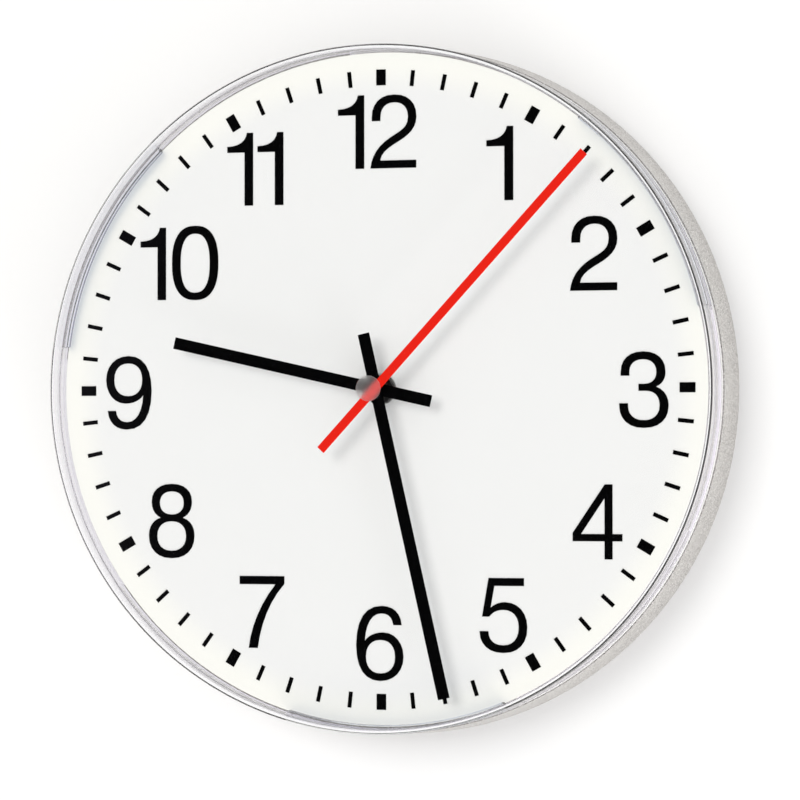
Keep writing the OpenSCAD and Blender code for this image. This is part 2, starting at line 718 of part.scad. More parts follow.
// Clear cover: straight side, rounded shoulder, domed front, holding ribs and locking lugs
module clear_cover() color(clear) upright() {
    outer = concat([[cover_r, cover_z0]],
                   quarter(cover_r - shoulder_w, shoulder_w, cover_side_z, shoulder_h),
                   dome(cover_r - shoulder_w, cover_front_z, dome_h));
    inner = concat([[skirt_r, cover_z0]],
                   quarter(cover_r - shoulder_w, shoulder_w - cover_t, cover_side_z, shoulder_h - cover_t),
                   dome(cover_r - shoulder_w, cover_front_z - cover_t, dome_h));
    union() {
        rotate_extrude($fn = 180) polygon(concat(outer, [for (i = [len(inner) - 1 : -1 : 0]) inner[i]]));
        disc(gate_r, cover_top_z - cover_t - gate_t, cover_top_z - cover_t / 2);
        for (i = [0 : lug_count - 1]) {
            mid = first_lug_angle + i * pitch_angle;
            ring_piece(skirt_r + cover_t / 2, skirt_r - hold_w,
                       face_z + twist_gap, face_z + twist_gap + hold_h,
                       mid - lug_angle / 2, mid + lug_angle / 2);
            ring_piece(skirt_r + cover_t / 2, lug_r, lug_z, lug_z + lug_t,
                       mid - lug_angle / 2, mid + lug_angle / 2);
        }
    }
}

// Rear tray of the movement's housing
module movement_rear_housing() color(pale_plastic) upright() difference() {
    union() {
        difference() {
            translate([0, 0, mv_z0]) linear_extrude(mv_depth - plate_t) rounded_square(mv_w, mv_corner_r);
            translate([0, 0, mv_floor_z]) linear_extrude(mv_depth)
                rounded_square(mv_w - 2 * mv_wall, mv_corner_r - mv_wall);
        }
        for (x = [-1, 1], y = [-1, 1]) translate([x * boss_at, y * boss_at, 0])
            disc(boss_r, mv_z0, mv_plate_z);
        for (x = [-1, 1]) translate([x * post_at, board_mid_y, 0]) {
            disc(post_r, mv_floor_z - cut, board_z);
            disc(peg_r, mv_floor_z - cut, board_z + board_t + peg_out);
        }
    }
    for (x = [-1, 1], y = [-1, 1]) translate([x * boss_at, y * boss_at, 0])
        disc(screw_r + screw_gap, mv_z0 - cut, mv_plate_z + cut);
    for (p = [minute_mid, second_mid, minute_rotor, second_rotor]) translate(p)
        disc(pin_r + seat, mv_floor_z - pin_sink, mv_floor_z + cut);
    disc(arbor_r + run, mv_floor_z - pin_sink, mv_floor_z + cut);
    translate([0, block_y, 0]) bar(terminal_w + 2 * window_gap, -window_gap, block_h + window_gap,
                                   mv_z0 - cut, mv_floor_z + cut);
}

// Front plate of the movement's housing
module movement_front_plate() color(pale_plastic) upright() difference() {
    translate([0, 0, mv_plate_z]) linear_extrude(plate_t) rounded_square(mv_w, mv_corner_r);
    disc(bush_r + seat, mv_plate_z - cut, mv_plate_z + plate_t + cut);
    for (x = [-1, 1], y = [-1, 1]) translate([x * boss_at, y * boss_at, 0])
        disc(screw_r + seat, mv_plate_z - cut, mv_plate_z + plate_t - pin_sink);
    for (p = [minute_mid, second_mid, minute_rotor, second_rotor, motion_mid]) translate(p)
        disc(pin_r + seat, mv_plate_z - cut, mv_plate_z + pin_sink);
}

// Screws through the rear housing into the front plate
module housing_screws() color(steel) upright()
    for (x = [-1, 1], y = [-1, 1]) translate([x * boss_at, y * boss_at, 0]) {
        disc(2 * screw_r, mv_z0 - screw_head_t, mv_z0);
        disc(screw_r, mv_z0, mv_plate_z + plate_t - pin_sink - seat);
    }

// Threaded bush that carries the movement in the dial
module centre_bush() color(brass) upright() difference() {
    union() {
        disc(bush_flange_r, mv_plate_z - bush_flange_t, mv_plate_z);
        disc(bush_r, mv_plate_z - bush_flange_t, face_z + bush_out);
    }
    disc(bush_bore_r, mv_plate_z - bush_flange_t - cut, face_z + bush_out + cut);
}

// Rubber washer between the movement and the dial
module movement_pad() color("black") upright() pipe(pad_r, bush_r + thread_gap, dial_z - pad_t, dial_z);

// Metal washer under the nut
module nut_washer() color(steel) upright()
    pipe(washer_r, bush_r + thread_gap, face_z, face_z + washer_t);

// Hexagon nut that clamps the dial to the movement, its top corners turned off
module centre_nut() color([0.15, 0.15, 0.15]) upright() difference() {
    intersection() {
        translate([0, 0, face_z + washer_t]) cylinder(r = nut_flats / sqrt(3), h = nut_t, $fn = 6);
        translate([0, 0, face_z + washer_t])
            cylinder(r1 = nut_flats / 2 + nut_slope * nut_t, r2 = nut_flats / 2, h = nut_t);
    }
    disc(bush_r + thread_gap, face_z, face_z + washer_t + nut_t + cut);
}

// Steel pins on which the moulded wheels of the trains turn
module train_pins() color(steel) upright()
    for (p = [minute_mid, second_mid, minute_rotor, second_rotor]) translate(p)
        disc(pin_r, mv_floor_z - pin_sink + seat, mv_plate_z + pin_sink - seat);

// Headed pin in the front plate on which the motion work turns
module motion_work_pin() color(steel) upright() translate(motion_mid) {
    disc(pin_r, cannon_z - motion_pin_under, mv_plate_z + pin_sink - seat);
    disc(2 * pin_r, cannon_z - motion_pin_under - motion_head_t, cannon_z - motion_pin_under);
}

// Moulded wheel and pinion on one sleeve that fills the space between the housing's faces
module sleeve(z0, z1) pipe(sleeve_r, sleeve_bore_r, z0 + sleeve_gap, z1 - sleeve_gap);

module bored(z0, z1) difference() {
    children();
    disc(sleeve_bore_r, z0 - cut, z1 + cut);
}

module rotor_pinion(z) {
    sleeve(mv_floor_z, mv_plate_z);
    bored(z, z + wheel_t) teeth(leaves, train_m, z - pinion_over, wheel_t + 2 * pinion_over, 90);
}

module intermediate_wheel(wheel_z, pinion_z, towards_centre) {
    sleeve(mv_floor_z, mv_plate_z);
    bored(wheel_z, wheel_z + wheel_t) teeth(first_n, train_m, wheel_z, wheel_t, gap_towards(270, first_n));
    bored(pinion_z, pinion_z + wheel_t)
        teeth(leaves, train_m, pinion_z - pinion_over, wheel_t + 2 * pinion_over, towards_centre);
}

module magnet() pipe(magnet_r, sleeve_r + seat, stator_z + stator_t / 2 - magnet_len / 2,
                     stator_z + stator_t / 2 + magnet_len / 2);

// Pinions and magnets of the two stepping rotors
module minute_rotor_pinion() color("white") upright() translate(minute_rotor) rotor_pinion(rotor_m_z);
module seconds_rotor_pinion() color("white") upright() translate(second_rotor) rotor_pinion(rotor_s_z);
module minute_rotor_magnet() color([0.3, 0.3, 0.32]) upright() translate(minute_rotor) magnet();
module seconds_rotor_magnet() color([0.3, 0.3, 0.32]) upright() translate(second_rotor) magnet();

// Intermediate wheels with their pinions
module minute_intermediate_wheel() color("white") upright() translate(minute_mid)
    intermediate_wheel(rotor_m_z, centre_z, 0);
module seconds_intermediate_wheel() color("white") upright() translate(second_mid)
    intermediate_wheel(rotor_s_z, seconds_z, 180);

// Centre wheel of the minute train, pressed on the minute pipe
module centre_wheel() color(brass) upright() difference() {
    teeth(last_n, train_m, centre_z, wheel_t, gap_towards(180, last_n));
    disc(minute_pipe_r + seat, centre_z - cut, centre_z + wheel_t + cut);
}

// Minute pipe with the cannon pinion that drives the motion work
module minute_pipe() color(brass) upright() difference() {
    union() {
        disc(minute_pipe_r, centre_z - pipe_under, minute_z + hand_t);
        teeth(cannon_n, motion_m, cannon_z - pinion_over, wheel_t + 2 * pinion_over, 90);
    }
    disc(minute_bore_r, centre_z - cut, minute_z + hand_t + cut);
}

// Motion work wheel and pinion between the minute pipe and the hour wheel
module motion_work_wheel() color(brass) upright() translate(motion_mid) {
    sleeve(cannon_z - motion_pin_under + motion_head_gap - sleeve_gap, mv_plate_z);
    bored(cannon_z, cannon_z + wheel_t)
        teeth(motion_n, motion_m, cannon_z, wheel_t, gap_towards(270, motion_n));
    bored(hour_wheel_z, hour_wheel_z + wheel_t)
        teeth(motion_leaves, motion_m, hour_wheel_z - pinion_over, wheel_t + 2 * pinion_over, 270);
}

// Hour wheel with the hour pipe
module hour_wheel() color(brass) upright() difference() {
    union() {
        teeth(hour_n, motion_m, hour_wheel_z, wheel_t, gap_towards(90, hour_n));
        disc(hour_pipe_r, hour_wheel_z - pipe_under, hour_z + hand_t);
    }
    disc(hour_bore_r, hour_wheel_z - cut, hour_z + hand_t + cut);
}

// Wheel and arbor of the second hand
module seconds_wheel() color(brass) upright() difference() {
    teeth(last_n, train_m, seconds_z, wheel_t, gap_towards(0, last_n));
    disc(arbor_r + seat, seconds_z - cut, seconds_z + wheel_t + cut);
}
module seconds_arbor() color(steel) upright() disc(arbor_r, mv_floor_z - pin_sink + arbor_out, arbor_top_z);

// Straight hand with square ends
module hand(w, len, tail, z, t, bore, angle) at_clock(angle) difference() {
    bar(w, -tail, len, z, z + t);
    disc(bore, z - cut, z + t + cut);
}

module hour_hand() color("black") upright()
    hand(hand_w, hour_len, hour_tail, hour_z, hand_t, hour_pipe_r + seat, hour_angle);
module minute_hand() color("black") upright()
    hand(hand_w, minute_len, minute_tail, minute_z, hand_t, minute_pipe_r + seat, minute_angle);
module second_hand() color("red") upright()
    hand(second_w, second_len, second_tail, second_z, second_t, arbor_r + seat, second_angle);

// Collars riveted under the hands
module hour_hand_collar() color([0.1, 0.1, 0.1]) upright()
    pipe(hour_pipe_r + collar_w, hour_pipe_r + seat, hour_z - hour_collar_t, hour_z);
module minute_hand_collar() color([0.1, 0.1, 0.1]) upright()
    pipe(minute_pipe_r + collar_w, minute_pipe_r + seat, minute_z - collar_t, minute_z);
module second_hand_collar() color("red") upright()
    pipe(arbor_r + second_collar_w, arbor_r + seat, second_z - collar_t, second_z);

// Stepping motors: stator plate, coil core, bobbin and winding
module stator(x) translate([x, 0, 0]) difference() {
    bar(stator_w, stator_foot_y, stator_head_y, stator_z, stator_z + stator_t);
    bar(stator_w - 2 * stator_leg_w, stator_foot_y - cut, stator_window_y,
        stator_z - cut, stator_z + stator_t + cut);
    translate([0, -first_gap, 0]) disc(magnet_r + air_gap, stator_z - cut, stator_z + stator_t + cut);
}

module coil_core(x) translate([x, coil_y, 0])
    bar(core_len, -core_w / 2, core_w / 2, stator_z - core_h, stator_z);

// Turns a shape drawn along z to lie along x on the coil's axis
module on_coil(x) translate([x, coil_y, coil_z]) rotate([0, 90, 0]) children();

module bobbin(x) on_coil(x) difference() {
    union() {
        translate([0, 0, -coil_len / 2]) cylinder(r = bobbin_tube_r, h = coil_len);
        for (z = [-coil_len / 2, coil_len / 2 - bobbin_t])
            translate([0, 0, z]) cylinder(r = bobbin_flange, h = bobbin_t);
    }
    cube([core_h + 2 * seat, core_w + 2 * seat, coil_len + 2 * cut], center = true);
}

module winding(x) on_coil(x) difference() {
    cylinder(r = coil_r, h = coil_len - 2 * bobbin_t - 2 * fit_gap, center = true);
    cylinder(r = bobbin_tube_r + seat, h = coil_len, center = true);
}

module minute_stator() color(steel) upright() stator(minute_rotor[0]);
module seconds_stator() color(steel) upright() stator(second_rotor[0]);
module minute_coil_core() color([0.5, 0.5, 0.52]) upright() coil_core(minute_rotor[0]);
module seconds_coil_core() color([0.5, 0.5, 0.52]) upright() coil_core(second_rotor[0]);
module minute_coil_bobbin() color("ivory") upright() bobbin(minute_rotor[0]);
module seconds_coil_bobbin() color("ivory") upright() bobbin(second_rotor[0]);
module minute_coil_winding() color(copper) upright() winding(minute_rotor[0]);
module seconds_coil_winding() color(copper) upright() winding(second_rotor[0]);

// Circuit board with its parts
module circuit_board() color([0.1, 0.4, 0.2]) upright() difference() {
    translate([0, board_y, 0]) bar(board_w, 0, board_h, board_z, board_z + board_t);
    for (x = [-1, 1]) translate([x * post_at, board_mid_y, 0])
        disc(peg_r + fit_gap, board_z - cut, board_z + board_t + cut);
}
module controller_chip() color([0.12, 0.12, 0.12]) upright()
    translate(chip_at)
        bar(chip_size[0], -chip_size[1] / 2, chip_size[1] / 2, board_face_z, board_face_z + chip_size[2]);
module capacitor() color([0.15, 0.15, 0.3]) upright()
    translate(capacitor_at) disc(capacitor_r, board_face_z, board_face_z + capacitor_h);
module resistors() color([0.8, 0.7, 0.5]) upright()
    for (i = [0 : 3]) translate([resistor_at[0] + resistor_pitch * i, resistor_at[1], board_face_z])
        bar(resistor_size[0], 0, resistor_size[1], 0, resistor_size[2]);

// Screw terminals for the line from the master clock, behind the board
module terminal_block() color([0.2, 0.2, 0.22]) upright() translate([0, block_y, 0]) difference() {
    bar(terminal_w, 0, block_h, board_z - block_drop, board_z);
    for (x = [-1, 1]) translate([x * block_pitch / 2, 0, 0]) {
        translate([0, block_h / 2, 0]) disc(block_screw_r + fit_gap, board_z - block_drop - cut,
                                             board_z - block_hole_drop);
        translate([0, block_h + cut, board_z - block_hole_drop]) rotate([90, 0, 0])
            cylinder(r = block_hole_r, h = block_h / 2 + cut);
    }
}
module terminal_screws() color(steel) upright()
    for (x = [-1, 1]) translate([x * block_pitch / 2, block_y + block_h / 2, 0])
        disc(block_screw_r, board_z - block_drop + block_screw_sink,
             board_z - block_hole_drop - block_hole_r + block_screw_bite);

rear_case();
hanging_plate();
hanging_plate_screws();
cable_grommet();
stud_sockets();
dial();
dial_studs();
numerals();
minute_marks();
clear_cover();
movement_rear_housing();
movement_front_plate();
housing_screws();
centre_bush();
movement_pad();
nut_washer();
centre_nut();
train_pins();
motion_work_pin();
circuit_board();
controller_chip();
capacitor();
resistors();
terminal_block();
terminal_screws();
minute_stator();
minute_coil_core();
minute_coil_bobbin();
minute_coil_winding();
seconds_stator();
seconds_coil_core();
seconds_coil_bobbin();
seconds_coil_winding();
minute_rotor_pinion();
minute_rotor_magnet();
minute_intermediate_wheel();
centre_wheel();
minute_pipe();
minute_hand();
minute_hand_collar();
motion_work_wheel();
hour_wheel();
hour_hand();
hour_hand_collar();
seconds_rotor_pinion();
seconds_rotor_magnet();
seconds_intermediate_wheel();
seconds_wheel();
seconds_arbor();
second_hand();
second_hand_collar();
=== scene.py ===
import json
import math

import bmesh
import bpy
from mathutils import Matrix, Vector


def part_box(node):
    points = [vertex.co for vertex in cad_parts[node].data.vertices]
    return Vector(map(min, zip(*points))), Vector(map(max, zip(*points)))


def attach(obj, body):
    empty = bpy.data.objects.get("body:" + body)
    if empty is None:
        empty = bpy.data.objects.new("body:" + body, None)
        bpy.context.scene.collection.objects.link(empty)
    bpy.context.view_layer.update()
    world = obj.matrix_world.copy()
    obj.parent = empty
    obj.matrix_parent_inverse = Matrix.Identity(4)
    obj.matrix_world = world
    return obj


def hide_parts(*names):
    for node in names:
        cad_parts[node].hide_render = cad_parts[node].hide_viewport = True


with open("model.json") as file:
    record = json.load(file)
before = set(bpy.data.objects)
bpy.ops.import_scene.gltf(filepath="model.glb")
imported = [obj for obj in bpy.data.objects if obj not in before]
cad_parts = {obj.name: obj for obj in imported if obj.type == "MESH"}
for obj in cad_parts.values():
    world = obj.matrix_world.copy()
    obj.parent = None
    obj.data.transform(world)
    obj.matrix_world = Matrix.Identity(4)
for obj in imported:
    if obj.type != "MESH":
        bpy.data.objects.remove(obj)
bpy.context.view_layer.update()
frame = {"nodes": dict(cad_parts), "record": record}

# Slave clock on a wall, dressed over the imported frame.
# Lengths are in millimetres in the clock's own drawing: x to the right, y up, z out of the wall.
# place() turns them into metres in the frame, where the dial faces -Y.

nodes = frame["nodes"]
body_of = {node: body for body, held in frame["record"]["behaviour"]["bodies"].items() for node in held}

# Degrees between two faces from which their edge counts as sharp
edge_angle = 35

# Room for rounding when faces are picked by their place
slack = 0.01

# Front of the dial
face_z = 32

# Cover; its angles are in degrees, clockwise from twelve
cover_r = 149
cover_t = 1.2
skirt_r = cover_r - cover_t
cover_z0 = 23.4
cover_side_z = 44.5
shoulder_w = 2.5
shoulder_h = 3
cover_front_z = cover_side_z + shoulder_h
dome_h = 5.5
cover_top_z = cover_front_z + dome_h
edge_break = 0.25
foot_bead = 0.2
foot_bead_h = 3
inner_bead = 0.4
gate_r = 5.5
gate_t = 0.4
lug_angle = 39
lug_middles = (57, 177, 297)
lug_r = 146.8
lug_z = (25.4, 28.2)
hold_r = 145.5
hold_z = (32.3, 37.1)
rib_round = 0.3
rib_fade = 0.25

# Neck of the case, under the cover
neck_from_r = 138
neck_from_z = 20

# Centre of the dial
bush_r = 4
bush_bore_r = 2.04
bush_flange_r = 6
bush_flange_t = 0.7
bush_top_z = face_z + 4
plate_z = 27.5
bush_top_chamfer = 0.35
thread_pitch = 0.5
thread_depth = 0.25
arbor_paint_h = 0.3

# Back of the case; a cross recess is given by its reach, width and depth
cable_y = 67
cable_r = 4
grommet_r = 8
grommet_flange_r = 10.8
grommet_sink = 1.2
grommet_web = 2
key_plate_t = 1.5
plate_gap = 0.2
key_screw_y = 116.5
key_screw_at = 13
key_screw_r = 1.4
key_screw_end_z = 6.45
key_screw_pitch = 0.6
key_screw_depth = 0.2
key_recess = (1.7, 0.7, 1.1)

# Movement
housing_z0 = 9.5
housing_screw_at = 28
housing_screw_r = 1.2
housing_screw_head_t = 1.2
housing_screw_thread_z = 15
housing_screw_end_z = 28.69
housing_screw_pitch = 0.6
housing_screw_depth = 0.18
housing_recess = (1.5, 0.6, 0.8)
terminal_screw_pitch = 0.5
terminal_screw_depth = 0.2
terminal_head_t = 1.0
terminal_slot_w = 0.5
terminal_slot_depth = 0.6
coil_bore_r = 2.72
wire_d = 0.5
chip_body_w = 3.9
chip_leg_count = 7
chip_leg_w = 0.42
chip_leg_t = 0.15
chip_mark_r = 0.45
chip_mark_depth = 0.12
chip_mark_in = 1.0
can_rim_w = 0.6
can_rim_h = 0.15
can_cross_w = 0.24
can_cross_depth = 0.4
can_cross_share = 0.6
can_top_at = 0.55
resistor_count = 4
resistor_w = 1.3
resistor_cap_len = 0.55


def place(x, y, z):
    """A point of the drawing in the frame, in metres."""
    return Vector((x, -z, y)) / 1000


def at_clock(radius, angle, z):
    """A point at a clock angle, clockwise from twelve."""
    turn = math.radians(angle)
    return place(radius * math.sin(turn), radius * math.cos(turn), z)


def smooth(mesh, sharp_over=30):
    """Smooth shading with sharp edges where two faces meet at more than this angle."""
    mesh.polygons.foreach_set("use_smooth", [True] * len(mesh.polygons))
    mesh.set_sharp_from_angle(angle=math.radians(sharp_over))


def piece(name, mesh, body, replaced, finish):
    """A finished mesh as a piece of the clock, which may stand for CAD nodes."""
    thing = bpy.data.objects.new(name, mesh)
    bpy.context.scene.collection.objects.link(thing)
    mesh.materials.clear()
    mesh.materials.append(finish)
    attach(thing, body)
    if replaced:
        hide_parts(*replaced)


def paint_faces(mesh, finish, chosen):
    """A further finish on the faces that a test picks."""
    mesh.materials.append(finish)
    for face in mesh.polygons:
        if chosen(face):
            face.material_index = len(mesh.materials) - 1


def drawn(point):
    """A point of the frame in the drawing, in millimetres."""
    return point.x * 1000, point.z * 1000, -point.y * 1000


def box_mm(node):
    """The lowest and highest corner of a CAD node in the clock's own drawing."""
    low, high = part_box(node)
    return (Vector((low[0], low[2], -high[1])) * 1000, Vector((high[0], high[2], -low[1])) * 1000)


def mesh_from(bm, name):
    """The mesh of a bmesh whose faces all look outwards."""
    bmesh.ops.remove_doubles(bm, verts=bm.verts, dist=1e-6)
    bmesh.ops.dissolve_degenerate(bm, edges=bm.edges, dist=1e-6)
    bmesh.ops.recalc_face_normals(bm, faces=bm.faces)
    mesh = bpy.data.meshes.new(name)
    bm.to_mesh(mesh)
    bm.free()
    return mesh


def turned(bm, angles, profile_at, centre=(0, 0)):
    """Closed profiles of (radius, height) set round an axis, one for each clock angle."""
    rings = []
    for angle in angles:
        turn = math.radians(angle)
        rings.append([bm.verts.new(place(centre[0] + r * math.sin(turn), centre[1] + r * math.cos(turn), z))
                      for r, z in profile_at(angle)])
    for here, there in zip(rings, rings[1:] + rings[:1]):
        for i in range(len(here)):
            j = (i + 1) % len(here)
            bm.faces.new((here[i], here[j], there[j], there[i]))


def turned_mesh(name, profile, steps=96, centres=((0, 0),)):
    """The same closed profile turned about one axis or more."""
    bm = bmesh.new()
    for centre in centres:
        turned(bm, [360 * i / steps for i in range(steps)], lambda angle: profile, centre)
    mesh = mesh_from(bm, name)
    smooth(mesh)
    return mesh


def rounded(profile, radius, steps=3):
    """A closed profile with its corners rounded, by one radius or one for each corner."""
    count = len(profile)
    radii = radius if isinstance(radius, (list, tuple)) else [radius] * count
    out = []
    for i, corner in enumerate(profile):
        here = Vector(corner)
        before = Vector(profile[i - 1]) - here
        after = Vector(profile[(i + 1) % count]) - here
        reach = min(radii[i], before.length / 2, after.length / 2)
        if reach <= 0:
            out.append(tuple(here))
            continue
        start = here + before.normalized() * reach
        end = here + after.normalized() * reach
        for k in range(steps + 1):
            t = k / steps
            out.append(tuple(start * (1 - t) ** 2 + here * 2 * t * (1 - t) + end * t * t))
    return out


def finished(thing):
    """The mesh of an object with its modifiers applied."""
    depsgraph = bpy.context.evaluated_depsgraph_get()
    mesh = bpy.data.meshes.new_from_object(thing.evaluated_get(depsgraph))
    bpy.data.objects.remove(thing)
    return mesh


def bevelled_mesh(node, width):
    """A copy of a CAD node's mesh whose sharp edges are broken by a small round."""
    bm = bmesh.new()
    bm.from_mesh(nodes[node].data)
    bmesh.ops.remove_doubles(bm, verts=bm.verts, dist=1e-7)
    bmesh.ops.dissolve_limit(bm, angle_limit=math.radians(0.2), verts=bm.verts, edges=bm.edges)
    mesh = bpy.data.meshes.new(node + "_finished")
    bm.to_mesh(mesh)
    bm.free()
    mesh.polygons.foreach_set("use_smooth", [True] * len(mesh.polygons))
    work = bpy.data.objects.new("work", mesh)
    bpy.context.scene.collection.objects.link(work)
    bevel = work.modifiers.new("edges", "BEVEL")
    bevel.width = width / 1000
    bevel.segments = 2
    bevel.limit_method = "ANGLE"
    bevel.angle_limit = math.radians(edge_angle)
    bevel.use_clamp_overlap = True
    bevel.harden_normals = True
    even = work.modifiers.new("flat faces", "WEIGHTED_NORMAL")
    even.keep_sharp = True
    even.weight = 100
    out = finished(work)
    out.name = node + "_finished"
    return out


def bevelled(bm, name, width, segments=2):
    """The mesh of a bmesh with all its sharp edges broken by a small round."""
    least = math.radians(edge_angle)
    sharp = [edge for edge in bm.edges if edge.is_manifold and edge.calc_face_angle() > least]
    bmesh.ops.bevel(bm, geom=sharp, offset=width / 1000, segments=segments, profile=0.5, affect="EDGES",
                    clamp_overlap=True)
    mesh = mesh_from(bm, name)
    smooth(mesh, 40)
    return mesh


def block(bm, low, high, low_share=1.0):
    """A box between two corners of the drawing; a share under one narrows its lower end."""
    mid_x, mid_y = (low[0] + high[0]) / 2, (low[1] + high[1]) / 2
    corners = []
    for z, share in ((low[2], low_share), (high[2], 1.0)):
        for x, y in ((low[0], low[1]), (high[0], low[1]), (high[0], high[1]), (low[0], high[1])):
            corner = place(mid_x + (x - mid_x) * share, mid_y + (y - mid_y) * share, z)
            corners.append(bm.verts.new(corner))
    for ring in ((0, 1, 2, 3), (4, 5, 6, 7), (0, 1, 5, 4), (1, 2, 6, 5), (2, 3, 7, 6), (3, 0, 4, 7)):
        bm.faces.new([corners[i] for i in ring])


def cut_out(mesh, cutter):
    """A mesh with the room of another one taken out of it."""
    bmesh.ops.recalc_face_normals(cutter, faces=cutter.faces)
    tool_mesh = bpy.data.meshes.new("cutter")
    cutter.to_mesh(tool_mesh)
    cutter.free()
    tool = bpy.data.objects.new("cutter", tool_mesh)
    work = bpy.data.objects.new("work", mesh)
    for thing in (tool, work):
        bpy.context.scene.collection.objects.link(thing)
    hollow = work.modifiers.new("recess", "BOOLEAN")
    hollow.operation = "DIFFERENCE"
    hollow.solver = "EXACT"
    hollow.use_self = True
    hollow.object = tool
    out = finished(work)
    out.name = mesh.name
    bpy.data.objects.remove(tool)
    smooth(out, edge_angle)
    return out


def thread_points(radius, low, high, pitch, depth):
    """Points of a screw thread drawn as rings, from its lower end up."""
    points = []
    for i in range(int((high - low) / pitch)):
        z = low + pitch * i
        points += [(radius, z + 0.2 * pitch), (radius - depth, z + 0.7 * pitch)]
    return points


def crossed(bm, centre, z, reach, width, depth):
    """A cross recess that opens towards the wall and narrows with its depth."""
    mouth = z - 0.1
    for half_x, half_y in ((reach, width / 2), (width / 2, reach)):
        block(bm, (centre[0] - half_x, centre[1] - half_y, z + depth),
              (centre[0] + half_x, centre[1] + half_y, mouth), 0.45)


# Shader groups


def group(name, inputs, outputs):
    """A shader node group with named sockets, with its input and output nodes."""
    tree = bpy.data.node_groups.new(name, "ShaderNodeTree")
    for label, kind, value in inputs:
        socket = tree.interface.new_socket(name=label, in_out="INPUT", socket_type="NodeSocket" + kind)
        socket.default_value = value
    for label, kind in outputs:
        tree.interface.new_socket(name=label, in_out="OUTPUT", socket_type="NodeSocket" + kind)
    return tree, tree.nodes.new("NodeGroupInput"), tree.nodes.new("NodeGroupOutput")


def feed(tree, socket, value):
    """A link or a plain value for a socket."""
    if isinstance(value, bpy.types.NodeSocket):
        tree.links.new(value, socket)
    else:
        socket.default_value = value


def put(tree, kind, at=None, **values):
    """A node with its settings and the values or links of its sockets."""
    node = tree.nodes.new("ShaderNode" + kind)
    for key, value in values.items():
        setattr(node, key, value)
    for key, value in (at or {}).items():
        feed(tree, node.inputs[key], value)
    return node


def colour_mix(tree, factor, first, second, blend="MIX"):
    """The colour that mixes two colours."""
    node = tree.nodes.new("ShaderNodeMix")
    node.data_type = "RGBA"
    node.blend_type = blend
    for key, value in ((0, factor), (6, first), (7, second)):
        feed(tree, node.inputs[key], value)
    return node.outputs[2]


def sum_of(tree, operation, first, second=0.0):
    """The result of a sum on two values."""
    return put(tree, "Math", {0: first, 1: second}, operation=operation).outputs[0]


def ramp(tree, value, low, high, first=0.0, last=1.0, interpolation="LINEAR"):
    """A value that goes from first to last while another goes from low to high."""
    return put(tree, "MapRange", {"Value": value, 1: low, 2: high, 3: first, 4: last},
               interpolation_type=interpolation).outputs[0]


def toned(tree, colour, factor):
    """A colour made lighter or darker by a factor."""
    tint = put(tree, "CombineColor", {0: factor, 1: factor, 2: factor}).outputs[0]
    return colour_mix(tree, 1.0, colour, tint, "MULTIPLY")


def make_grain():
    """Fine unevenness of a moulded or painted surface: a varied colour, a roughness and a height."""
    tree, given, result = group(
        "grain",
        [("Colour", "Color", (0.8, 0.8, 0.8, 1)), ("Size", "Float", 1.0), ("Tone", "Float", 0.1),
         ("Roughness", "Float", 0.5), ("Roughness change", "Float", 0.1)],
        [("Colour", "Color"), ("Roughness", "Float"), ("Height", "Float")])
    where = put(tree, "TexCoord").outputs["Object"]
    scale = sum_of(tree, "DIVIDE", 1000.0, given.outputs["Size"])
    fine = put(tree, "TexNoise", {"Vector": where, "Scale": scale, "Detail": 3.0, "Roughness": 0.6})
    broad_scale = sum_of(tree, "MULTIPLY", scale, 0.045)
    broad = put(tree, "TexNoise", {"Vector": where, "Scale": broad_scale, "Detail": 2.0})
    both = sum_of(tree, "ADD", sum_of(tree, "MULTIPLY", fine.outputs["Fac"], 0.6),
                  sum_of(tree, "MULTIPLY", broad.outputs["Fac"], 0.4))
    signed = sum_of(tree, "SUBTRACT", both, 0.5)
    factor = sum_of(tree, "ADD", 1.0, sum_of(tree, "MULTIPLY", signed, given.outputs["Tone"]))
    tree.links.new(toned(tree, given.outputs["Colour"], factor), result.inputs["Colour"])
    change = sum_of(tree, "MULTIPLY", signed, given.outputs["Roughness change"])
    tree.links.new(sum_of(tree, "ADD", given.outputs["Roughness"], change), result.inputs["Roughness"])
    tree.links.new(fine.outputs["Fac"], result.inputs["Height"])
    return tree


def make_fleck():
    """Small bright and dark flakes in a metallic paint."""
    tree, given, result = group(
        "fleck",
        [("Colour", "Color", (0.7, 0.7, 0.7, 1)), ("Light", "Color", (0.9, 0.9, 0.9, 1)),
         ("Dark", "Color", (0.4, 0.4, 0.4, 1)), ("Size", "Float", 0.5), ("Amount", "Float", 0.5)],
        [("Colour", "Color"), ("Flake", "Float")])
    where = put(tree, "TexCoord").outputs["Object"]
    scale = sum_of(tree, "DIVIDE", 1000.0, given.outputs["Size"])
    cells = put(tree, "TexVoronoi", {"Vector": where, "Scale": scale}, feature="F1")
    pick = put(tree, "SeparateColor", {0: cells.outputs["Color"]})
    soft_scale = sum_of(tree, "MULTIPLY", scale, 0.4)
    soft = put(tree, "TexNoise", {"Vector": where, "Scale": soft_scale, "Detail": 2.0})
    bright = ramp(tree, pick.outputs[0], 0.55, 1.0)
    dull = ramp(tree, pick.outputs[1], 0.6, 1.0)
    mixed = colour_mix(tree, sum_of(tree, "MULTIPLY", bright, given.outputs["Amount"]),
                       given.outputs["Colour"], given.outputs["Light"])
    mixed = colour_mix(tree, sum_of(tree, "MULTIPLY", dull, given.outputs["Amount"]),
                       mixed, given.outputs["Dark"])
    cloud = ramp(tree, soft.outputs["Fac"], 0.3, 0.7, 0.94, 1.06)
    tree.links.new(toned(tree, mixed, cloud), result.inputs["Colour"])
    tree.links.new(pick.outputs[2], result.inputs["Flake"])
    return tree


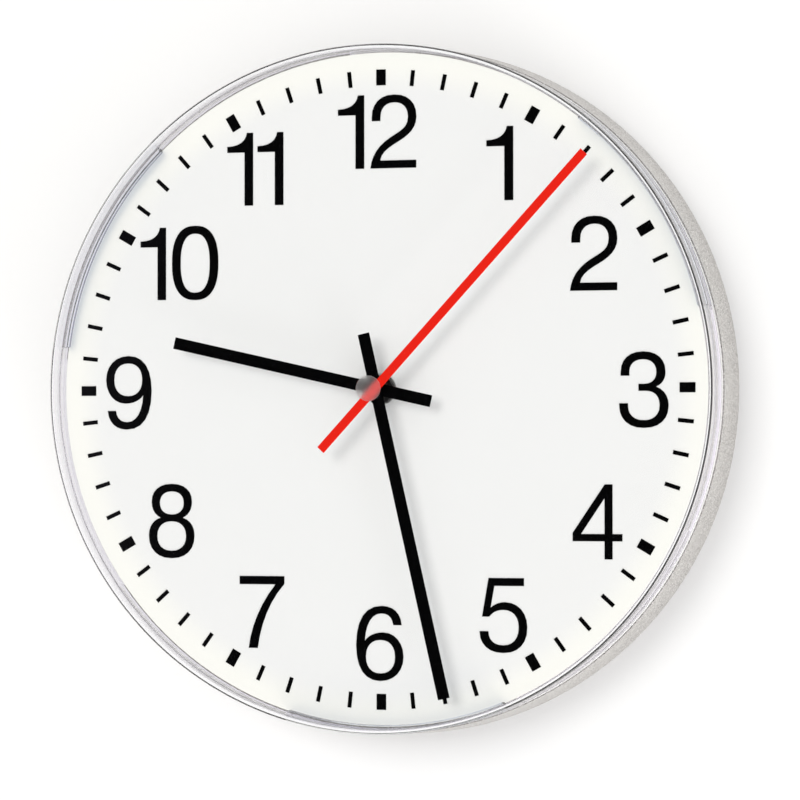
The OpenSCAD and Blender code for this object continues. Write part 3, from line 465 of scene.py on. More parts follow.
def make_brushed():
    """Drawn or turned lines in bare metal: a varied colour, a roughness and a height."""
    tree, given, result = group(
        "brushed",
        [("Colour", "Color", (0.7, 0.7, 0.7, 1)), ("Along", "Vector", (0.05, 1.0, 1.0)),
         ("Size", "Float", 0.4), ("Tone", "Float", 0.2), ("Roughness", "Float", 0.3),
         ("Roughness change", "Float", 0.2)],
        [("Colour", "Color"), ("Roughness", "Float"), ("Height", "Float")])
    where = put(tree, "TexCoord").outputs["Object"]
    stretched = put(tree, "VectorMath", {0: where, 1: given.outputs["Along"]}, operation="MULTIPLY")
    scale = sum_of(tree, "DIVIDE", 1000.0, given.outputs["Size"])
    lines = put(tree, "TexNoise", {"Vector": stretched.outputs[0], "Scale": scale, "Detail": 4.0,
                                   "Roughness": 0.65})
    stain = put(tree, "TexNoise", {"Vector": where, "Scale": 60.0, "Detail": 3.0})
    signed = sum_of(tree, "SUBTRACT", lines.outputs["Fac"], 0.5)
    stained = sum_of(tree, "SUBTRACT", stain.outputs["Fac"], 0.5)
    tone = sum_of(tree, "ADD", sum_of(tree, "MULTIPLY", signed, given.outputs["Tone"]),
                  sum_of(tree, "MULTIPLY", stained, given.outputs["Tone"]))
    factor = sum_of(tree, "ADD", 1.0, tone)
    tree.links.new(toned(tree, given.outputs["Colour"], factor), result.inputs["Colour"])
    change = sum_of(tree, "MULTIPLY", signed, given.outputs["Roughness change"])
    tree.links.new(sum_of(tree, "ADD", given.outputs["Roughness"], change), result.inputs["Roughness"])
    tree.links.new(lines.outputs["Fac"], result.inputs["Height"])
    return tree


def make_edge_wear():
    """Outer edges rubbed to another colour, broken up by noise; on the blackened nut the lighter edges are
    partly painted glints.
    """
    tree, given, result = group(
        "edge_wear",
        [("Colour", "Color", (0.5, 0.5, 0.5, 1)), ("Worn", "Color", (0.8, 0.8, 0.8, 1)),
         ("Radius", "Float", 0.0005), ("Amount", "Float", 0.5)],
        [("Colour", "Color"), ("Mask", "Float")])
    rounded_normal = put(tree, "Bevel", {"Radius": given.outputs["Radius"]}, samples=4)
    flat_normal = put(tree, "NewGeometry").outputs["Normal"]
    alike = put(tree, "VectorMath", {0: rounded_normal.outputs[0], 1: flat_normal}, operation="DOT_PRODUCT")
    turn = sum_of(tree, "SUBTRACT", 1.0, alike.outputs["Value"])
    where = put(tree, "TexCoord").outputs["Object"]
    patches = put(tree, "TexNoise", {"Vector": where, "Scale": 700.0, "Detail": 4.0, "Roughness": 0.7})
    broken = sum_of(tree, "MULTIPLY", turn, sum_of(tree, "MULTIPLY", patches.outputs["Fac"], 9.0))
    mask = sum_of(tree, "MULTIPLY", ramp(tree, broken, 0.15, 1.0), given.outputs["Amount"])
    rubbed = colour_mix(tree, mask, given.outputs["Colour"], given.outputs["Worn"])
    tree.links.new(rubbed, result.inputs["Colour"])
    tree.links.new(mask, result.inputs["Mask"])
    return tree


grain = make_grain()
fleck = make_fleck()
brushed = make_brushed()
edge_wear = make_edge_wear()


def use(tree, shared, at):
    """A shared group placed in a material."""
    node = tree.nodes.new("ShaderNodeGroup")
    node.node_tree = shared
    for key, value in at.items():
        feed(tree, node.inputs[key], value)
    return node


def material(name):
    """A new material with its node tree and its surface shader."""
    made = bpy.data.materials.new(name)
    made.use_nodes = True
    return made, made.node_tree, made.node_tree.nodes["Principled BSDF"]


def rgb(red, green, blue):
    """A full colour for a socket."""
    return (red, green, blue, 1.0)


def coat(tree, shader, colour, roughness):
    """The colour and the roughness that vary over a surface."""
    tree.links.new(colour, shader.inputs["Base Color"])
    tree.links.new(roughness, shader.inputs["Roughness"])


def bump(tree, shader, height, strength, distance):
    """Small relief on a surface, with its distance in millimetres."""
    relief = put(tree, "Bump", {"Height": height, "Strength": strength, "Distance": distance / 1000})
    tree.links.new(relief.outputs[0], shader.inputs["Normal"])


def moulded(name, colour, size=0.5, tone=0.12, roughness=0.45, change=0.15, relief=0.02, specular=0.5):
    """Paint, rubber or moulded plastic with a fine grain."""
    made, tree, shader = material(name)
    skin = use(tree, grain, {"Colour": colour, "Size": size, "Tone": tone, "Roughness": roughness,
                             "Roughness change": change})
    coat(tree, shader, skin.outputs["Colour"], skin.outputs["Roughness"])
    shader.inputs["Specular IOR Level"].default_value = specular
    bump(tree, shader, skin.outputs["Height"], 0.5, relief)
    return made


def bare_metal(name, colour, wear_and_glint_colour, along=(1.0, 1.0, 1.0), size=0.4, tone=0.2, roughness=0.3, change=0.25,
               relief=0.01, wear=0.4):
    """Bare or plated metal with drawn lines and brighter edges."""
    made, tree, shader = material(name)
    lines = use(tree, brushed, {"Colour": colour, "Along": along, "Size": size, "Tone": tone,
                                "Roughness": roughness, "Roughness change": change})
    edges = use(tree, edge_wear, {"Colour": lines.outputs["Colour"], "Worn": wear_and_glint_colour, "Radius": 0.0003,
                                  "Amount": wear})
    coat(tree, shader, edges.outputs["Colour"], lines.outputs["Roughness"])
    shader.inputs["Metallic"].default_value = 1.0
    bump(tree, shader, lines.outputs["Height"], 0.4, relief)
    return made


def make_silver_paint():
    """Silver paint of the case: fine flakes, a little gloss and a very fine orange peel."""
    made, tree, shader = material("silver_case_paint")
    flakes = use(tree, fleck, {"Colour": rgb(0.60, 0.578, 0.55), "Light": rgb(0.95, 0.94, 0.92),
                               "Dark": rgb(0.26, 0.245, 0.23), "Size": 0.36, "Amount": 0.95})
    skin = use(tree, grain, {"Colour": flakes.outputs["Colour"], "Size": 0.8, "Tone": 0.08,
                             "Roughness": 0.42, "Roughness change": 0.12})
    coat(tree, shader, skin.outputs["Colour"], skin.outputs["Roughness"])
    shader.inputs["Metallic"].default_value = 0.68
    bump(tree, shader, flakes.outputs["Flake"], 0.25, 0.02)
    return made


def make_dial_white():
    """Satin white paint of the dial, made lighter and warmer out towards its edge: painted light that stands
    in for the light the cover's rounded shoulder brings onto the rim, and lifts the shade of the cover's
    steep wall there.
    """
    made, tree, shader = material("dial_paint_with_painted_rim_light")
    where = put(tree, "TexCoord").outputs["Object"]
    flat = put(tree, "VectorMath", {0: where, 1: (1.0, 0.0, 1.0)}, operation="MULTIPLY")
    radius = put(tree, "VectorMath", {0: flat.outputs[0]}, operation="LENGTH").outputs["Value"]
    # Share of the painted rim light, rising from 128 mm out to 143 mm from the centre
    outer = ramp(tree, radius, 0.128, 0.143, interpolation="SMOOTHSTEP")
    paint = colour_mix(tree, outer, rgb(0.890, 0.889, 0.875), rgb(0.965, 0.957, 0.897))
    skin = use(tree, grain, {"Colour": paint, "Size": 0.9, "Tone": 0.035, "Roughness": 0.5,
                             "Roughness change": 0.1})
    coat(tree, shader, skin.outputs["Colour"], skin.outputs["Roughness"])
    shader.inputs["Specular IOR Level"].default_value = 0.3
    bump(tree, shader, skin.outputs["Height"], 0.3, 0.01)
    return made


def clear_material(name, colour, roughness, cloud, shadow, flat_shadow=rgb(0.985, 0.985, 0.985)):
    """Clear acrylic; a cloud share mixes in a white diffuse veil, real frosting on the gate mark and a
    painted highlight on the cover's foot. Shadow and diffuse rays go straight through, dimmer where the wall
    is steep.
    """
    made, tree, shader = material(name)
    skin = use(tree, grain, {"Colour": colour, "Size": 6.0, "Tone": 0.02, "Roughness": roughness,
                             "Roughness change": roughness})
    tree.links.new(skin.outputs["Roughness"], shader.inputs["Roughness"])
    shader.inputs["Base Color"].default_value = colour
    shader.inputs["IOR"].default_value = 1.49
    shader.inputs["Transmission Weight"].default_value = 1.0
    surface = shader.outputs[0]
    if cloud:
        veil = put(tree, "BsdfDiffuse", {"Color": rgb(0.9, 0.9, 0.88), "Roughness": 0.5})
        surface = put(tree, "MixShader", {0: cloud, 1: surface, 2: veil.outputs[0]}).outputs[0]
    steep = put(tree, "LayerWeight", {"Blend": 0.35}).outputs["Facing"]
    dimmed = colour_mix(tree, steep, flat_shadow, shadow)
    through = put(tree, "BsdfTransparent", {"Color": dimmed})
    ray = put(tree, "LightPath")
    soft_ray = sum_of(tree, "MAXIMUM", ray.outputs["Is Shadow Ray"], ray.outputs["Is Diffuse Ray"])
    mixed = put(tree, "MixShader", {0: soft_ray, 1: surface, 2: through.outputs[0]})
    tree.links.new(mixed.outputs[0], tree.nodes["Material Output"].inputs["Surface"])
    return made


silver_paint = make_silver_paint()
dial_white = make_dial_white()
# Neck of the case: a lighter, lavender paint that is painted light, lifting the shade under the cover
neck_painted_light = moulded("neck_painted_light", rgb(0.85, 0.81, 0.88), size=0.8, tone=0.05, roughness=0.5, relief=0.01)
acrylic = clear_material("clear_acrylic", rgb(0.985, 0.99, 1.0), 0.012, 0.0, rgb(0.93, 0.94, 0.96))
# Outside of the cover's side: a painted violet tint, standing in for the violet-grey cast of the light
# refracted through the side
side_acrylic_painted_tint = clear_material("clear_acrylic_side_painted_tint", rgb(0.95, 0.915, 0.985), 0.012, 0.0,
                              rgb(0.93, 0.93, 0.96))
# Foot of the cover: the white veil is a painted highlight, standing in for the bright line along the
# acrylic's foot
foot_acrylic_painted_highlight = clear_material("clear_acrylic_foot_painted_highlight", rgb(0.97, 0.97, 0.98), 0.1, 0.6, rgb(0.8, 0.8, 0.82))
rib_acrylic = clear_material("clear_acrylic_ribs", rgb(0.84, 0.90, 1.0), 0.012, 0.0, rgb(0.28, 0.34, 0.46),
                             rgb(0.38, 0.44, 0.56))
frosted_acrylic = clear_material("frosted_acrylic", rgb(0.97, 0.96, 0.95), 0.3, 0.04, rgb(0.8, 0.8, 0.8))
ink = moulded("black_print", rgb(0.0015, 0.0015, 0.0017), size=0.3, tone=0.3, roughness=0.6, change=0.1,
              relief=0.004, specular=0.03)
hand_black = moulded("black_hand_paint", rgb(0.0012, 0.0012, 0.0014), size=0.35, tone=0.35, roughness=0.62,
                     change=0.12, relief=0.006, specular=0.04)
hand_red = moulded("red_hand_paint", rgb(0.82, 0.012, 0.003), size=0.35, tone=0.1, roughness=0.55,
                   change=0.1, relief=0.006, specular=0.15)
hand_back = bare_metal("bare_hand_back", rgb(0.80, 0.81, 0.82), rgb(0.9, 0.9, 0.9), size=0.4, tone=0.15,
                       roughness=0.55, wear=0.2)
# Blackened nut; its lighter rubbed edges are partly real wear and partly painted glints
nut_black_wear_and_glints = bare_metal("blackened_nut_wear_and_painted_glints", rgb(0.06, 0.058, 0.056), rgb(0.42, 0.41, 0.40), size=0.25,
                       tone=0.5, roughness=0.3, wear=0.8)
# Very dark brass on the exposed end of the centre bush
bush_dark_brass = bare_metal("dark_brass", rgb(0.05, 0.043, 0.03), rgb(0.30, 0.24, 0.13), size=0.2,
                        tone=0.4, roughness=0.4, wear=0.6)
steel = bare_metal("bright_steel", rgb(0.58, 0.58, 0.57), rgb(0.8, 0.8, 0.79), size=0.2, roughness=0.28)
zinc = bare_metal("zinc_plated_steel", rgb(0.60, 0.60, 0.57), rgb(0.78, 0.78, 0.75), along=(0.04, 1.0, 1.0),
                  size=0.5, tone=0.3, roughness=0.36)
brass = bare_metal("turned_brass", rgb(0.66, 0.47, 0.20), rgb(0.85, 0.68, 0.36), size=0.2, tone=0.25,
                   roughness=0.28)
stator_steel = bare_metal("stator_steel", rgb(0.42, 0.43, 0.45), rgb(0.62, 0.63, 0.65),
                          along=(1.0, 1.0, 0.05), size=0.3, tone=0.3, roughness=0.4)
copper = bare_metal("enamelled_copper", rgb(0.60, 0.22, 0.08), rgb(0.78, 0.36, 0.18), along=(1.0, 0.1, 0.1),
                    size=0.15, tone=0.35, roughness=0.3)
magnet_grey = moulded("sintered_magnet", rgb(0.08, 0.08, 0.085), size=0.15, tone=0.6, roughness=0.55,
                      relief=0.03)
rubber = moulded("black_rubber", rgb(0.018, 0.018, 0.018), size=0.4, tone=0.4, roughness=0.7, relief=0.03)
nylon = moulded("white_nylon", rgb(0.78, 0.77, 0.72), size=0.6, tone=0.08, roughness=0.42)
housing_plastic = moulded("housing_plastic", rgb(0.68, 0.68, 0.64), size=0.3, tone=0.12, roughness=0.5,
                          relief=0.03)
bobbin_plastic = moulded("bobbin_plastic", rgb(0.74, 0.70, 0.56), size=0.4, tone=0.1, roughness=0.45)
grey_plastic = moulded("grey_plastic", rgb(0.12, 0.12, 0.13), size=0.3, tone=0.25, roughness=0.5, relief=0.03)
black_plastic = moulded("black_plastic", rgb(0.022, 0.022, 0.024), size=0.2, tone=0.4, roughness=0.55,
                        relief=0.02)
board_green = moulded("board_green", rgb(0.02, 0.16, 0.06), size=0.7, tone=0.5, roughness=0.3, relief=0.01)
sleeve_blue = moulded("capacitor_sleeve", rgb(0.03, 0.035, 0.12), size=0.5, tone=0.2, roughness=0.3)
ceramic = moulded("resistor_ceramic", rgb(0.62, 0.52, 0.36), size=0.15, tone=0.4, roughness=0.5)
tin = bare_metal("tinned_metal", rgb(0.66, 0.66, 0.68), rgb(0.8, 0.8, 0.8), size=0.15, tone=0.3,
                 roughness=0.34)

finish_of = {
    "rear_case": silver_paint, "hanging_plate": zinc, "hanging_plate_screws": zinc, "cable_grommet": rubber,
    "stud_sockets": nylon, "dial": dial_white, "dial_studs": steel, "numerals": ink, "minute_marks": ink,
    "clear_cover": acrylic, "movement_rear_housing": housing_plastic, "movement_front_plate": housing_plastic,
    "housing_screws": zinc, "centre_bush": bush_dark_brass, "movement_pad": rubber, "nut_washer": zinc,
    "centre_nut": nut_black_wear_and_glints, "train_pins": steel, "motion_work_pin": steel, "circuit_board": board_green,
    "controller_chip": black_plastic, "capacitor": sleeve_blue, "resistors": ceramic,
    "terminal_block": grey_plastic, "terminal_screws": zinc,
    "minute_rotor_pinion": nylon, "seconds_rotor_pinion": nylon, "minute_rotor_magnet": magnet_grey,
    "seconds_rotor_magnet": magnet_grey, "minute_intermediate_wheel": nylon,
    "seconds_intermediate_wheel": nylon, "centre_wheel": brass, "minute_pipe": brass,
    "minute_hand": hand_black, "minute_hand_collar": hand_black, "motion_work_wheel": brass,
    "hour_wheel": brass, "hour_hand": hand_black, "hour_hand_collar": hand_black, "seconds_wheel": brass,
    "seconds_arbor": steel, "second_hand": hand_red, "second_hand_collar": hand_red}
for side in ("minute", "seconds"):
    finish_of[side + "_stator"] = stator_steel
    finish_of[side + "_coil_core"] = stator_steel
    finish_of[side + "_coil_bobbin"] = bobbin_plastic
    finish_of[side + "_coil_winding"] = copper
for name, thing in nodes.items():
    for holder in thing.material_slots:
        holder.material = finish_of[name]


def stand_in(node, mesh):
    """A finished mesh in the place of a CAD node, on the node's own body and with its slot."""
    piece(node + "_finished", mesh, body_of[node], [node], finish_of[node])


# Clear cover: straight side, rounded shoulder, shallow dome, and on the inside the holding ribs and the lugs


def dome_points(edge_r, edge_z, rise, steps):
    """Points of the shallow dome from its edge to the axis."""
    ball = (edge_r ** 2 + rise ** 2) / (2 * rise)
    out = []
    for i in range(1, steps + 1):
        r = edge_r * (1 - i / steps)
        out.append((r, edge_z + rise - ball + math.sqrt(ball ** 2 - r ** 2)))
    return out


def shoulder_points(edge_r, width, z, height, steps=16):
    """Points of the rounded shoulder from its side to its top."""
    turn = [math.pi / 2 * i / steps for i in range(steps + 1)]
    return [(edge_r + width * math.cos(a), z + height * math.sin(a)) for a in turn]


edge_r = cover_r - shoulder_w
foot_path = rounded([(skirt_r + edge_break, cover_z0), (cover_r + foot_bead, cover_z0),
                     (cover_r + foot_bead, cover_z0 + foot_bead_h), (cover_r, cover_z0 + foot_bead_h)],
                    [0, edge_break, edge_break, 0])[1:]
outer_path = (foot_path
              + shoulder_points(edge_r, shoulder_w, cover_side_z, shoulder_h)
              + dome_points(edge_r, cover_front_z, dome_h, 24))
inner_top = (shoulder_points(edge_r, shoulder_w - cover_t, cover_side_z, shoulder_h - cover_t)
             + dome_points(edge_r, cover_front_z - cover_t, dome_h, 24))[::-1]


def rib_points(rib_r, low, high, share):
    """A rib on the inside of the cover, from its top down, which a share under one sinks to a low bead."""
    reach = inner_bead + (skirt_r - rib_r - inner_bead) * share
    return rounded([(skirt_r, high), (skirt_r - reach, high), (skirt_r - reach, low), (skirt_r, low)],
                   [0, rib_round, rib_round, 0])


def cover_profile(angle):
    """The closed profile of the cover at a clock angle."""
    off = min(abs((angle - middle + 180) % 360 - 180) for middle in lug_middles)
    share = min(1.0, max(1e-4, (lug_angle / 2 - off) / rib_fade))
    share = math.sin(math.pi / 2 * share)
    return (outer_path + inner_top + rib_points(hold_r, *hold_z, share) + rib_points(lug_r, *lug_z, share)
            + [(skirt_r, cover_z0 + edge_break), (skirt_r + edge_break, cover_z0)])


cover_angles = sorted({round(0.5 * i, 3) for i in range(720)}
                      | {round(middle + side * (lug_angle / 2 - rib_fade * k / 4), 4) % 360
                         for middle in lug_middles for side in (-1, 1) for k in range(5)})
bm = bmesh.new()
turned(bm, cover_angles, cover_profile)
cover_mesh = mesh_from(bm, "cover_shell")
smooth(cover_mesh, 28)
piece("cover_shell", cover_mesh, "cover", ["clear_cover"], acrylic)
for finish in (rib_acrylic, side_acrylic_painted_tint, foot_acrylic_painted_highlight):
    cover_mesh.materials.append(finish)
bead_top_z = cover_z0 + foot_bead_h
for face in cover_mesh.polygons:
    corners = [cover_mesh.vertices[i].co * 1000 for i in face.vertices]
    radii = [math.hypot(corner.x, corner.z) for corner in corners]
    top_z = max(-corner.y for corner in corners)
    if max(radii) < skirt_r - inner_bead - rib_round and top_z < hold_z[1] + rib_round:
        face.material_index = 1
    # Outside of the foot bead: the frosted finish whose veil is a painted highlight
    elif min(radii) > skirt_r + edge_break / 2 and top_z < bead_top_z + slack:
        face.material_index = 3
    # Outside of the side: the painted violet tint
    elif min(radii) > cover_r - slack:
        face.material_index = 2

# Frosted mark that the moulding left in the middle of the cover
gate_top_z = cover_top_z - cover_t - 0.02
gate_mesh = turned_mesh("cover_gate_mark", rounded(
    [(0, gate_top_z), (gate_r, gate_top_z), (gate_r, gate_top_z - gate_t), (0, gate_top_z - gate_t)],
    [0, 0, 0.15, 0]), 64)
piece("cover_gate_mark", gate_mesh, "cover", [], frosted_acrylic)

# Pieces whose CAD shape gets broken edges, with the width of the round
broken_edges = {
    "rear_case": 0.35, "hanging_plate": 0.2, "stud_sockets": 0.2, "dial": 0.2, "dial_studs": 0.15,
    "nut_washer": 0.08, "centre_nut": 0.12, "movement_pad": 0.2, "movement_rear_housing": 0.3,
    "movement_front_plate": 0.3, "train_pins": 0.08, "motion_work_pin": 0.06, "circuit_board": 0.12,
    "terminal_block": 0.3, "minute_pipe": 0.05, "hour_wheel": 0.05, "centre_wheel": 0.05,
    "seconds_wheel": 0.05, "motion_work_wheel": 0.05, "seconds_arbor": 0.08, "minute_hand": 0.1,
    "hour_hand": 0.1, "second_hand": 0.08, "minute_hand_collar": 0.08, "hour_hand_collar": 0.08,
    "second_hand_collar": 0.08}
for side in ("minute", "seconds"):
    broken_edges.update({side + "_stator": 0.08, side + "_coil_core": 0.08, side + "_coil_bobbin": 0.12,
                         side + "_rotor_pinion": 0.04, side + "_rotor_magnet": 0.15,
                         side + "_intermediate_wheel": 0.05})
for node, width in broken_edges.items():
    stand_in(node, bevelled_mesh(node, width))


def on_back(face):
    """Whether a face looks towards the wall."""
    return face.normal.y > 0.5


# The hands are painted on the front only, and the paint of the second hand runs over the arbor's end
for node in ("minute_hand", "hour_hand", "second_hand"):
    paint_faces(bpy.data.objects[node + "_finished"].data, hand_back, on_back)
arbor_mesh = bpy.data.objects["seconds_arbor_finished"].data
arbor_end_z = max(drawn(vertex.co)[2] for vertex in arbor_mesh.vertices)
paint_faces(arbor_mesh, hand_red, lambda face: drawn(face.center)[2] > arbor_end_z - arbor_paint_h)


def on_neck(face):
    """Whether a face of the case belongs to its neck."""
    x, y, z = drawn(face.center)
    return neck_from_r < math.hypot(x, y) < cover_r and z > neck_from_z


# The case's neck, under the cover, is painted lighter and lavender: painted light that lifts the shade it
# sits in behind the cover's wall
paint_faces(bpy.data.objects["rear_case_finished"].data, neck_painted_light, on_neck)

# Grommet with rounded lips
grommet_top = 2 * grommet_sink + grommet_web
grommet_profile = rounded(
    [(cable_r, 0), (grommet_flange_r, 0), (grommet_flange_r, grommet_sink), (grommet_r, grommet_sink),
     (grommet_r, grommet_sink + grommet_web), (grommet_flange_r, grommet_sink + grommet_web),
     (grommet_flange_r, grommet_top), (cable_r, grommet_top)],
    [0.6, 0.5, 0.2, 0.1, 0.1, 0.2, 0.5, 0.6], 5)
stand_in("cable_grommet", turned_mesh("cable_grommet_finished", grommet_profile, 72, [(0, cable_y)]))

# Bush with its thread, above the flange that sits behind the movement's front plate
thread = []
z = bush_top_z - 0.4
while z > face_z + 0.1:
    thread += [(bush_r, z), (bush_r - thread_depth, z - thread_pitch / 2)]
    z -= thread_pitch
bush_profile = ([(bush_bore_r, bush_top_z), (bush_r - bush_top_chamfer, bush_top_z)] + thread
                + [(bush_r, face_z), (bush_r, plate_z), (bush_flange_r, plate_z),
                   (bush_flange_r, plate_z - bush_flange_t), (bush_bore_r, plate_z - bush_flange_t)])
stand_in("centre_bush", turned_mesh("centre_bush_finished", bush_profile, 64))

# Countersunk screws of the hanging plate, with cross recesses towards the wall
key_screws = [(side * key_screw_at, key_screw_y) for side in (-1, 1)]
profile = ([(0, plate_gap), (2 * key_screw_r, plate_gap), (key_screw_r, key_plate_t)]
           + thread_points(key_screw_r, key_plate_t + 0.3, key_screw_end_z - 0.8, key_screw_pitch,
                           key_screw_depth)
           + [(key_screw_r - 0.2, key_screw_end_z - 0.6), (0, key_screw_end_z)])
recess = bmesh.new()
for centre in key_screws:
    crossed(recess, centre, plate_gap, *key_recess)
stand_in("hanging_plate_screws",
         cut_out(turned_mesh("hanging_plate_screws_finished", profile, 48, key_screws), recess))

# Pan head screws of the movement's housing
housing_screws = [(x * housing_screw_at, y * housing_screw_at) for x in (-1, 1) for y in (-1, 1)]
head_r = 2 * housing_screw_r
head_z = housing_z0 - housing_screw_head_t
profile = (rounded([(0, head_z), (head_r, head_z), (head_r, housing_z0), (housing_screw_r, housing_z0)],
                   [0, 0.8, 0.1, 0], 5)
           + thread_points(housing_screw_r, housing_screw_thread_z, housing_screw_end_z - 0.8,
                           housing_screw_pitch, housing_screw_depth)
           + [(housing_screw_r - 0.2, housing_screw_end_z - 0.5), (0, housing_screw_end_z)])
recess = bmesh.new()
for centre in housing_screws:
    crossed(recess, centre, head_z, *housing_recess)
stand_in("housing_screws",
         cut_out(turned_mesh("housing_screws_finished", profile, 48, housing_screws), recess))

# Slotted screws of the terminals, their slots towards the wall
low, high = box_mm("terminal_screws")
screw_r = (high.y - low.y) / 2
screw_y = (high.y + low.y) / 2
terminal_screws = [(low.x + screw_r, screw_y), (high.x - screw_r, screw_y)]
head_top_z = low.z + terminal_head_t
profile = (rounded([(0, low.z), (screw_r, low.z), (screw_r, low.z + 0.9), (screw_r - 0.2, head_top_z)],
                   [0, 0.15, 0.05, 0])
           + thread_points(screw_r, head_top_z, high.z - 0.3, terminal_screw_pitch, terminal_screw_depth)
           + [(screw_r - 0.3, high.z), (0, high.z)])
slots = bmesh.new()
for x, y in terminal_screws:
    block(slots, (x - 2 * screw_r, y - terminal_slot_w / 2, low.z - 0.5),
          (x + 2 * screw_r, y + terminal_slot_w / 2, low.z + terminal_slot_depth))
stand_in("terminal_screws",
         cut_out(turned_mesh("terminal_screws_finished", profile, 48, terminal_screws), slots))


def wound_mesh(node):
    """A coil of wire on a bobbin: its outside follows the wire round and along."""
    low, high = box_mm(node)
    middle_y, middle_z, outer_r = (low.y + high.y) / 2, (low.z + high.z) / 2, (high.y - low.y) / 2
    around, along = 48, int((high.x - low.x) / wire_d * 6)
    bm = bmesh.new()

    def ring(x, radius_at):
        """A ring of points round the coil's axis, with a radius for each turn."""
        points = []
        for k in range(around):
            turn = 2 * math.pi * k / around
            r = radius_at(turn)
            point = place(x, middle_y + r * math.cos(turn), middle_z + r * math.sin(turn))
            points.append(bm.verts.new(point))
        return points

    rings = [ring(low.x, lambda turn: coil_bore_r)]
    for i in range(along + 1):
        x = low.x + (high.x - low.x) * i / along
        rings.append(ring(x, lambda turn: outer_r - wire_d / 2 * (1 - abs(math.cos(
            math.pi * (x - low.x) / wire_d + turn / 2)))))
    rings.append(ring(high.x, lambda turn: coil_bore_r))
    for here, there in zip(rings, rings[1:] + rings[:1]):
        for k in range(around):
            j = (k + 1) % around
            bm.faces.new((here[k], here[j], there[j], there[k]))
    mesh = mesh_from(bm, node + "_finished")
    smooth(mesh, 50)
    return mesh


for side in ("minute", "seconds"):
    stand_in(side + "_coil_winding", wound_mesh(side + "_coil_winding"))

# Chip: a moulded body on bent legs
low, high = box_mm("controller_chip")
middle_y = (low.y + high.y) / 2
bm = bmesh.new()
block(bm, (low.x, middle_y - chip_body_w / 2, low.z + chip_leg_t),
      (high.x, middle_y + chip_body_w / 2, high.z))
chip_mesh = bevelled(bm, "controller_chip_body", 0.12)
mark_profile = [(0, high.z - chip_mark_depth), (chip_mark_r, high.z - chip_mark_depth),
                (chip_mark_r, high.z + 0.2), (0, high.z + 0.2)]
mark = bmesh.new()
turned(mark, [15 * i for i in range(24)], lambda angle: mark_profile,
       (low.x + chip_mark_in, middle_y - chip_body_w / 2 + chip_mark_in))
bmesh.ops.remove_doubles(mark, verts=mark.verts, dist=1e-7)
stand_in("controller_chip", cut_out(chip_mesh, mark))
leg_mid_z = (low.z + high.z) / 2
leg_reach = (high.y - low.y) / 2
leg_path = [(chip_body_w / 2 - 0.1, leg_mid_z), (leg_reach - 0.6, leg_mid_z),
            (leg_reach - 0.45, low.z + chip_leg_t), (leg_reach, low.z + chip_leg_t),
            (leg_reach, low.z), (leg_reach - 0.58, low.z),
            (leg_reach - 0.73, leg_mid_z - chip_leg_t), (chip_body_w / 2 - 0.1, leg_mid_z - chip_leg_t)]
bm = bmesh.new()
for i in range(chip_leg_count):
    x = low.x + (high.x - low.x) * (i + 0.5) / chip_leg_count
    for side in (-1, 1):
        ends = [[bm.verts.new(place(edge_x, middle_y + side * y, z)) for y, z in leg_path]
                for edge_x in (x - chip_leg_w / 2, x + chip_leg_w / 2)]
        for end in ends:
            bm.faces.new(end)
        for k in range(len(leg_path)):
            j = (k + 1) % len(leg_path)
            bm.faces.new((ends[0][k], ends[0][j], ends[1][j], ends[1][k]))
piece("controller_chip_legs", bevelled(bm, "controller_chip_legs", 0.03, 1), body_of["controller_chip"], [],
      tin)

# Capacitor: a sleeve with a crimp, and a metal top with a cross pressed into it
low, high = box_mm("capacitor")
can_r = (high.x - low.x) / 2
centre = ((low.x + high.x) / 2, (low.y + high.y) / 2)
profile = rounded([(0, low.z), (can_r, low.z), (can_r, low.z + 1.0), (can_r - 0.3, low.z + 1.35),
                   (can_r, low.z + 1.7), (can_r, high.z), (can_r - can_rim_w, high.z),
                   (can_r - can_rim_w, high.z - can_rim_h), (0, high.z - can_rim_h)],
                  [0, 0.3, 0.25, 0.25, 0.25, 0.3, 0.1, 0.05, 0], 4)
cross = bmesh.new()
cross_reach = can_r * can_cross_share
for half_x, half_y in ((cross_reach, can_cross_w / 2), (can_cross_w / 2, cross_reach)):
    block(cross, (centre[0] - half_x, centre[1] - half_y, high.z - can_cross_depth),
          (centre[0] + half_x, centre[1] + half_y, high.z))
can_mesh = cut_out(turned_mesh("capacitor_finished", profile, 64, [centre]), cross)
stand_in("capacitor", can_mesh)


def on_can_top(face):
    """Whether a face of the capacitor belongs to its bare top."""
    x, y, z = drawn(face.center)
    return math.hypot(x - centre[0], y - centre[1]) < can_r - can_top_at and z > high.z - 1


paint_faces(can_mesh, tin, on_can_top)

# Resistors: ceramic bodies with metal caps on both ends
low, high = box_mm("resistors")
resistor_pitch = (high.x - low.x - resistor_w) / (resistor_count - 1)
bm = bmesh.new()
for i in range(resistor_count):
    left = low.x + resistor_pitch * i
    block(bm, (left, low.y, low.z), (left + resistor_w, high.y, high.z))
for y in (low.y + resistor_cap_len, high.y - resistor_cap_len):
    bmesh.ops.bisect_plane(bm, geom=bm.verts[:] + bm.edges[:] + bm.faces[:], plane_co=place(0, y, 0),
                           plane_no=(0, 0, 1))
resistor_mesh = bevelled(bm, "resistors_finished", 0.08)
stand_in("resistors", resistor_mesh)
paint_faces(resistor_mesh, tin, lambda face: not (
    low.y + resistor_cap_len <= drawn(face.center)[1] <= high.y - resistor_cap_len))

# Camera, as in the photograph
camera_data = bpy.data.cameras.new("camera")
camera_data.lens = 167.674
camera_data.sensor_width = 36
camera_data.clip_start = 0.01
camera = bpy.data.objects.new("camera", camera_data)
camera.location = (0.46477, -1.58225, -0.03125)
camera.rotation_euler = [math.radians(a) for a in (90.940, 0.0389, 16.4052)]
bpy.context.scene.collection.objects.link(camera)
bpy.context.scene.camera = camera

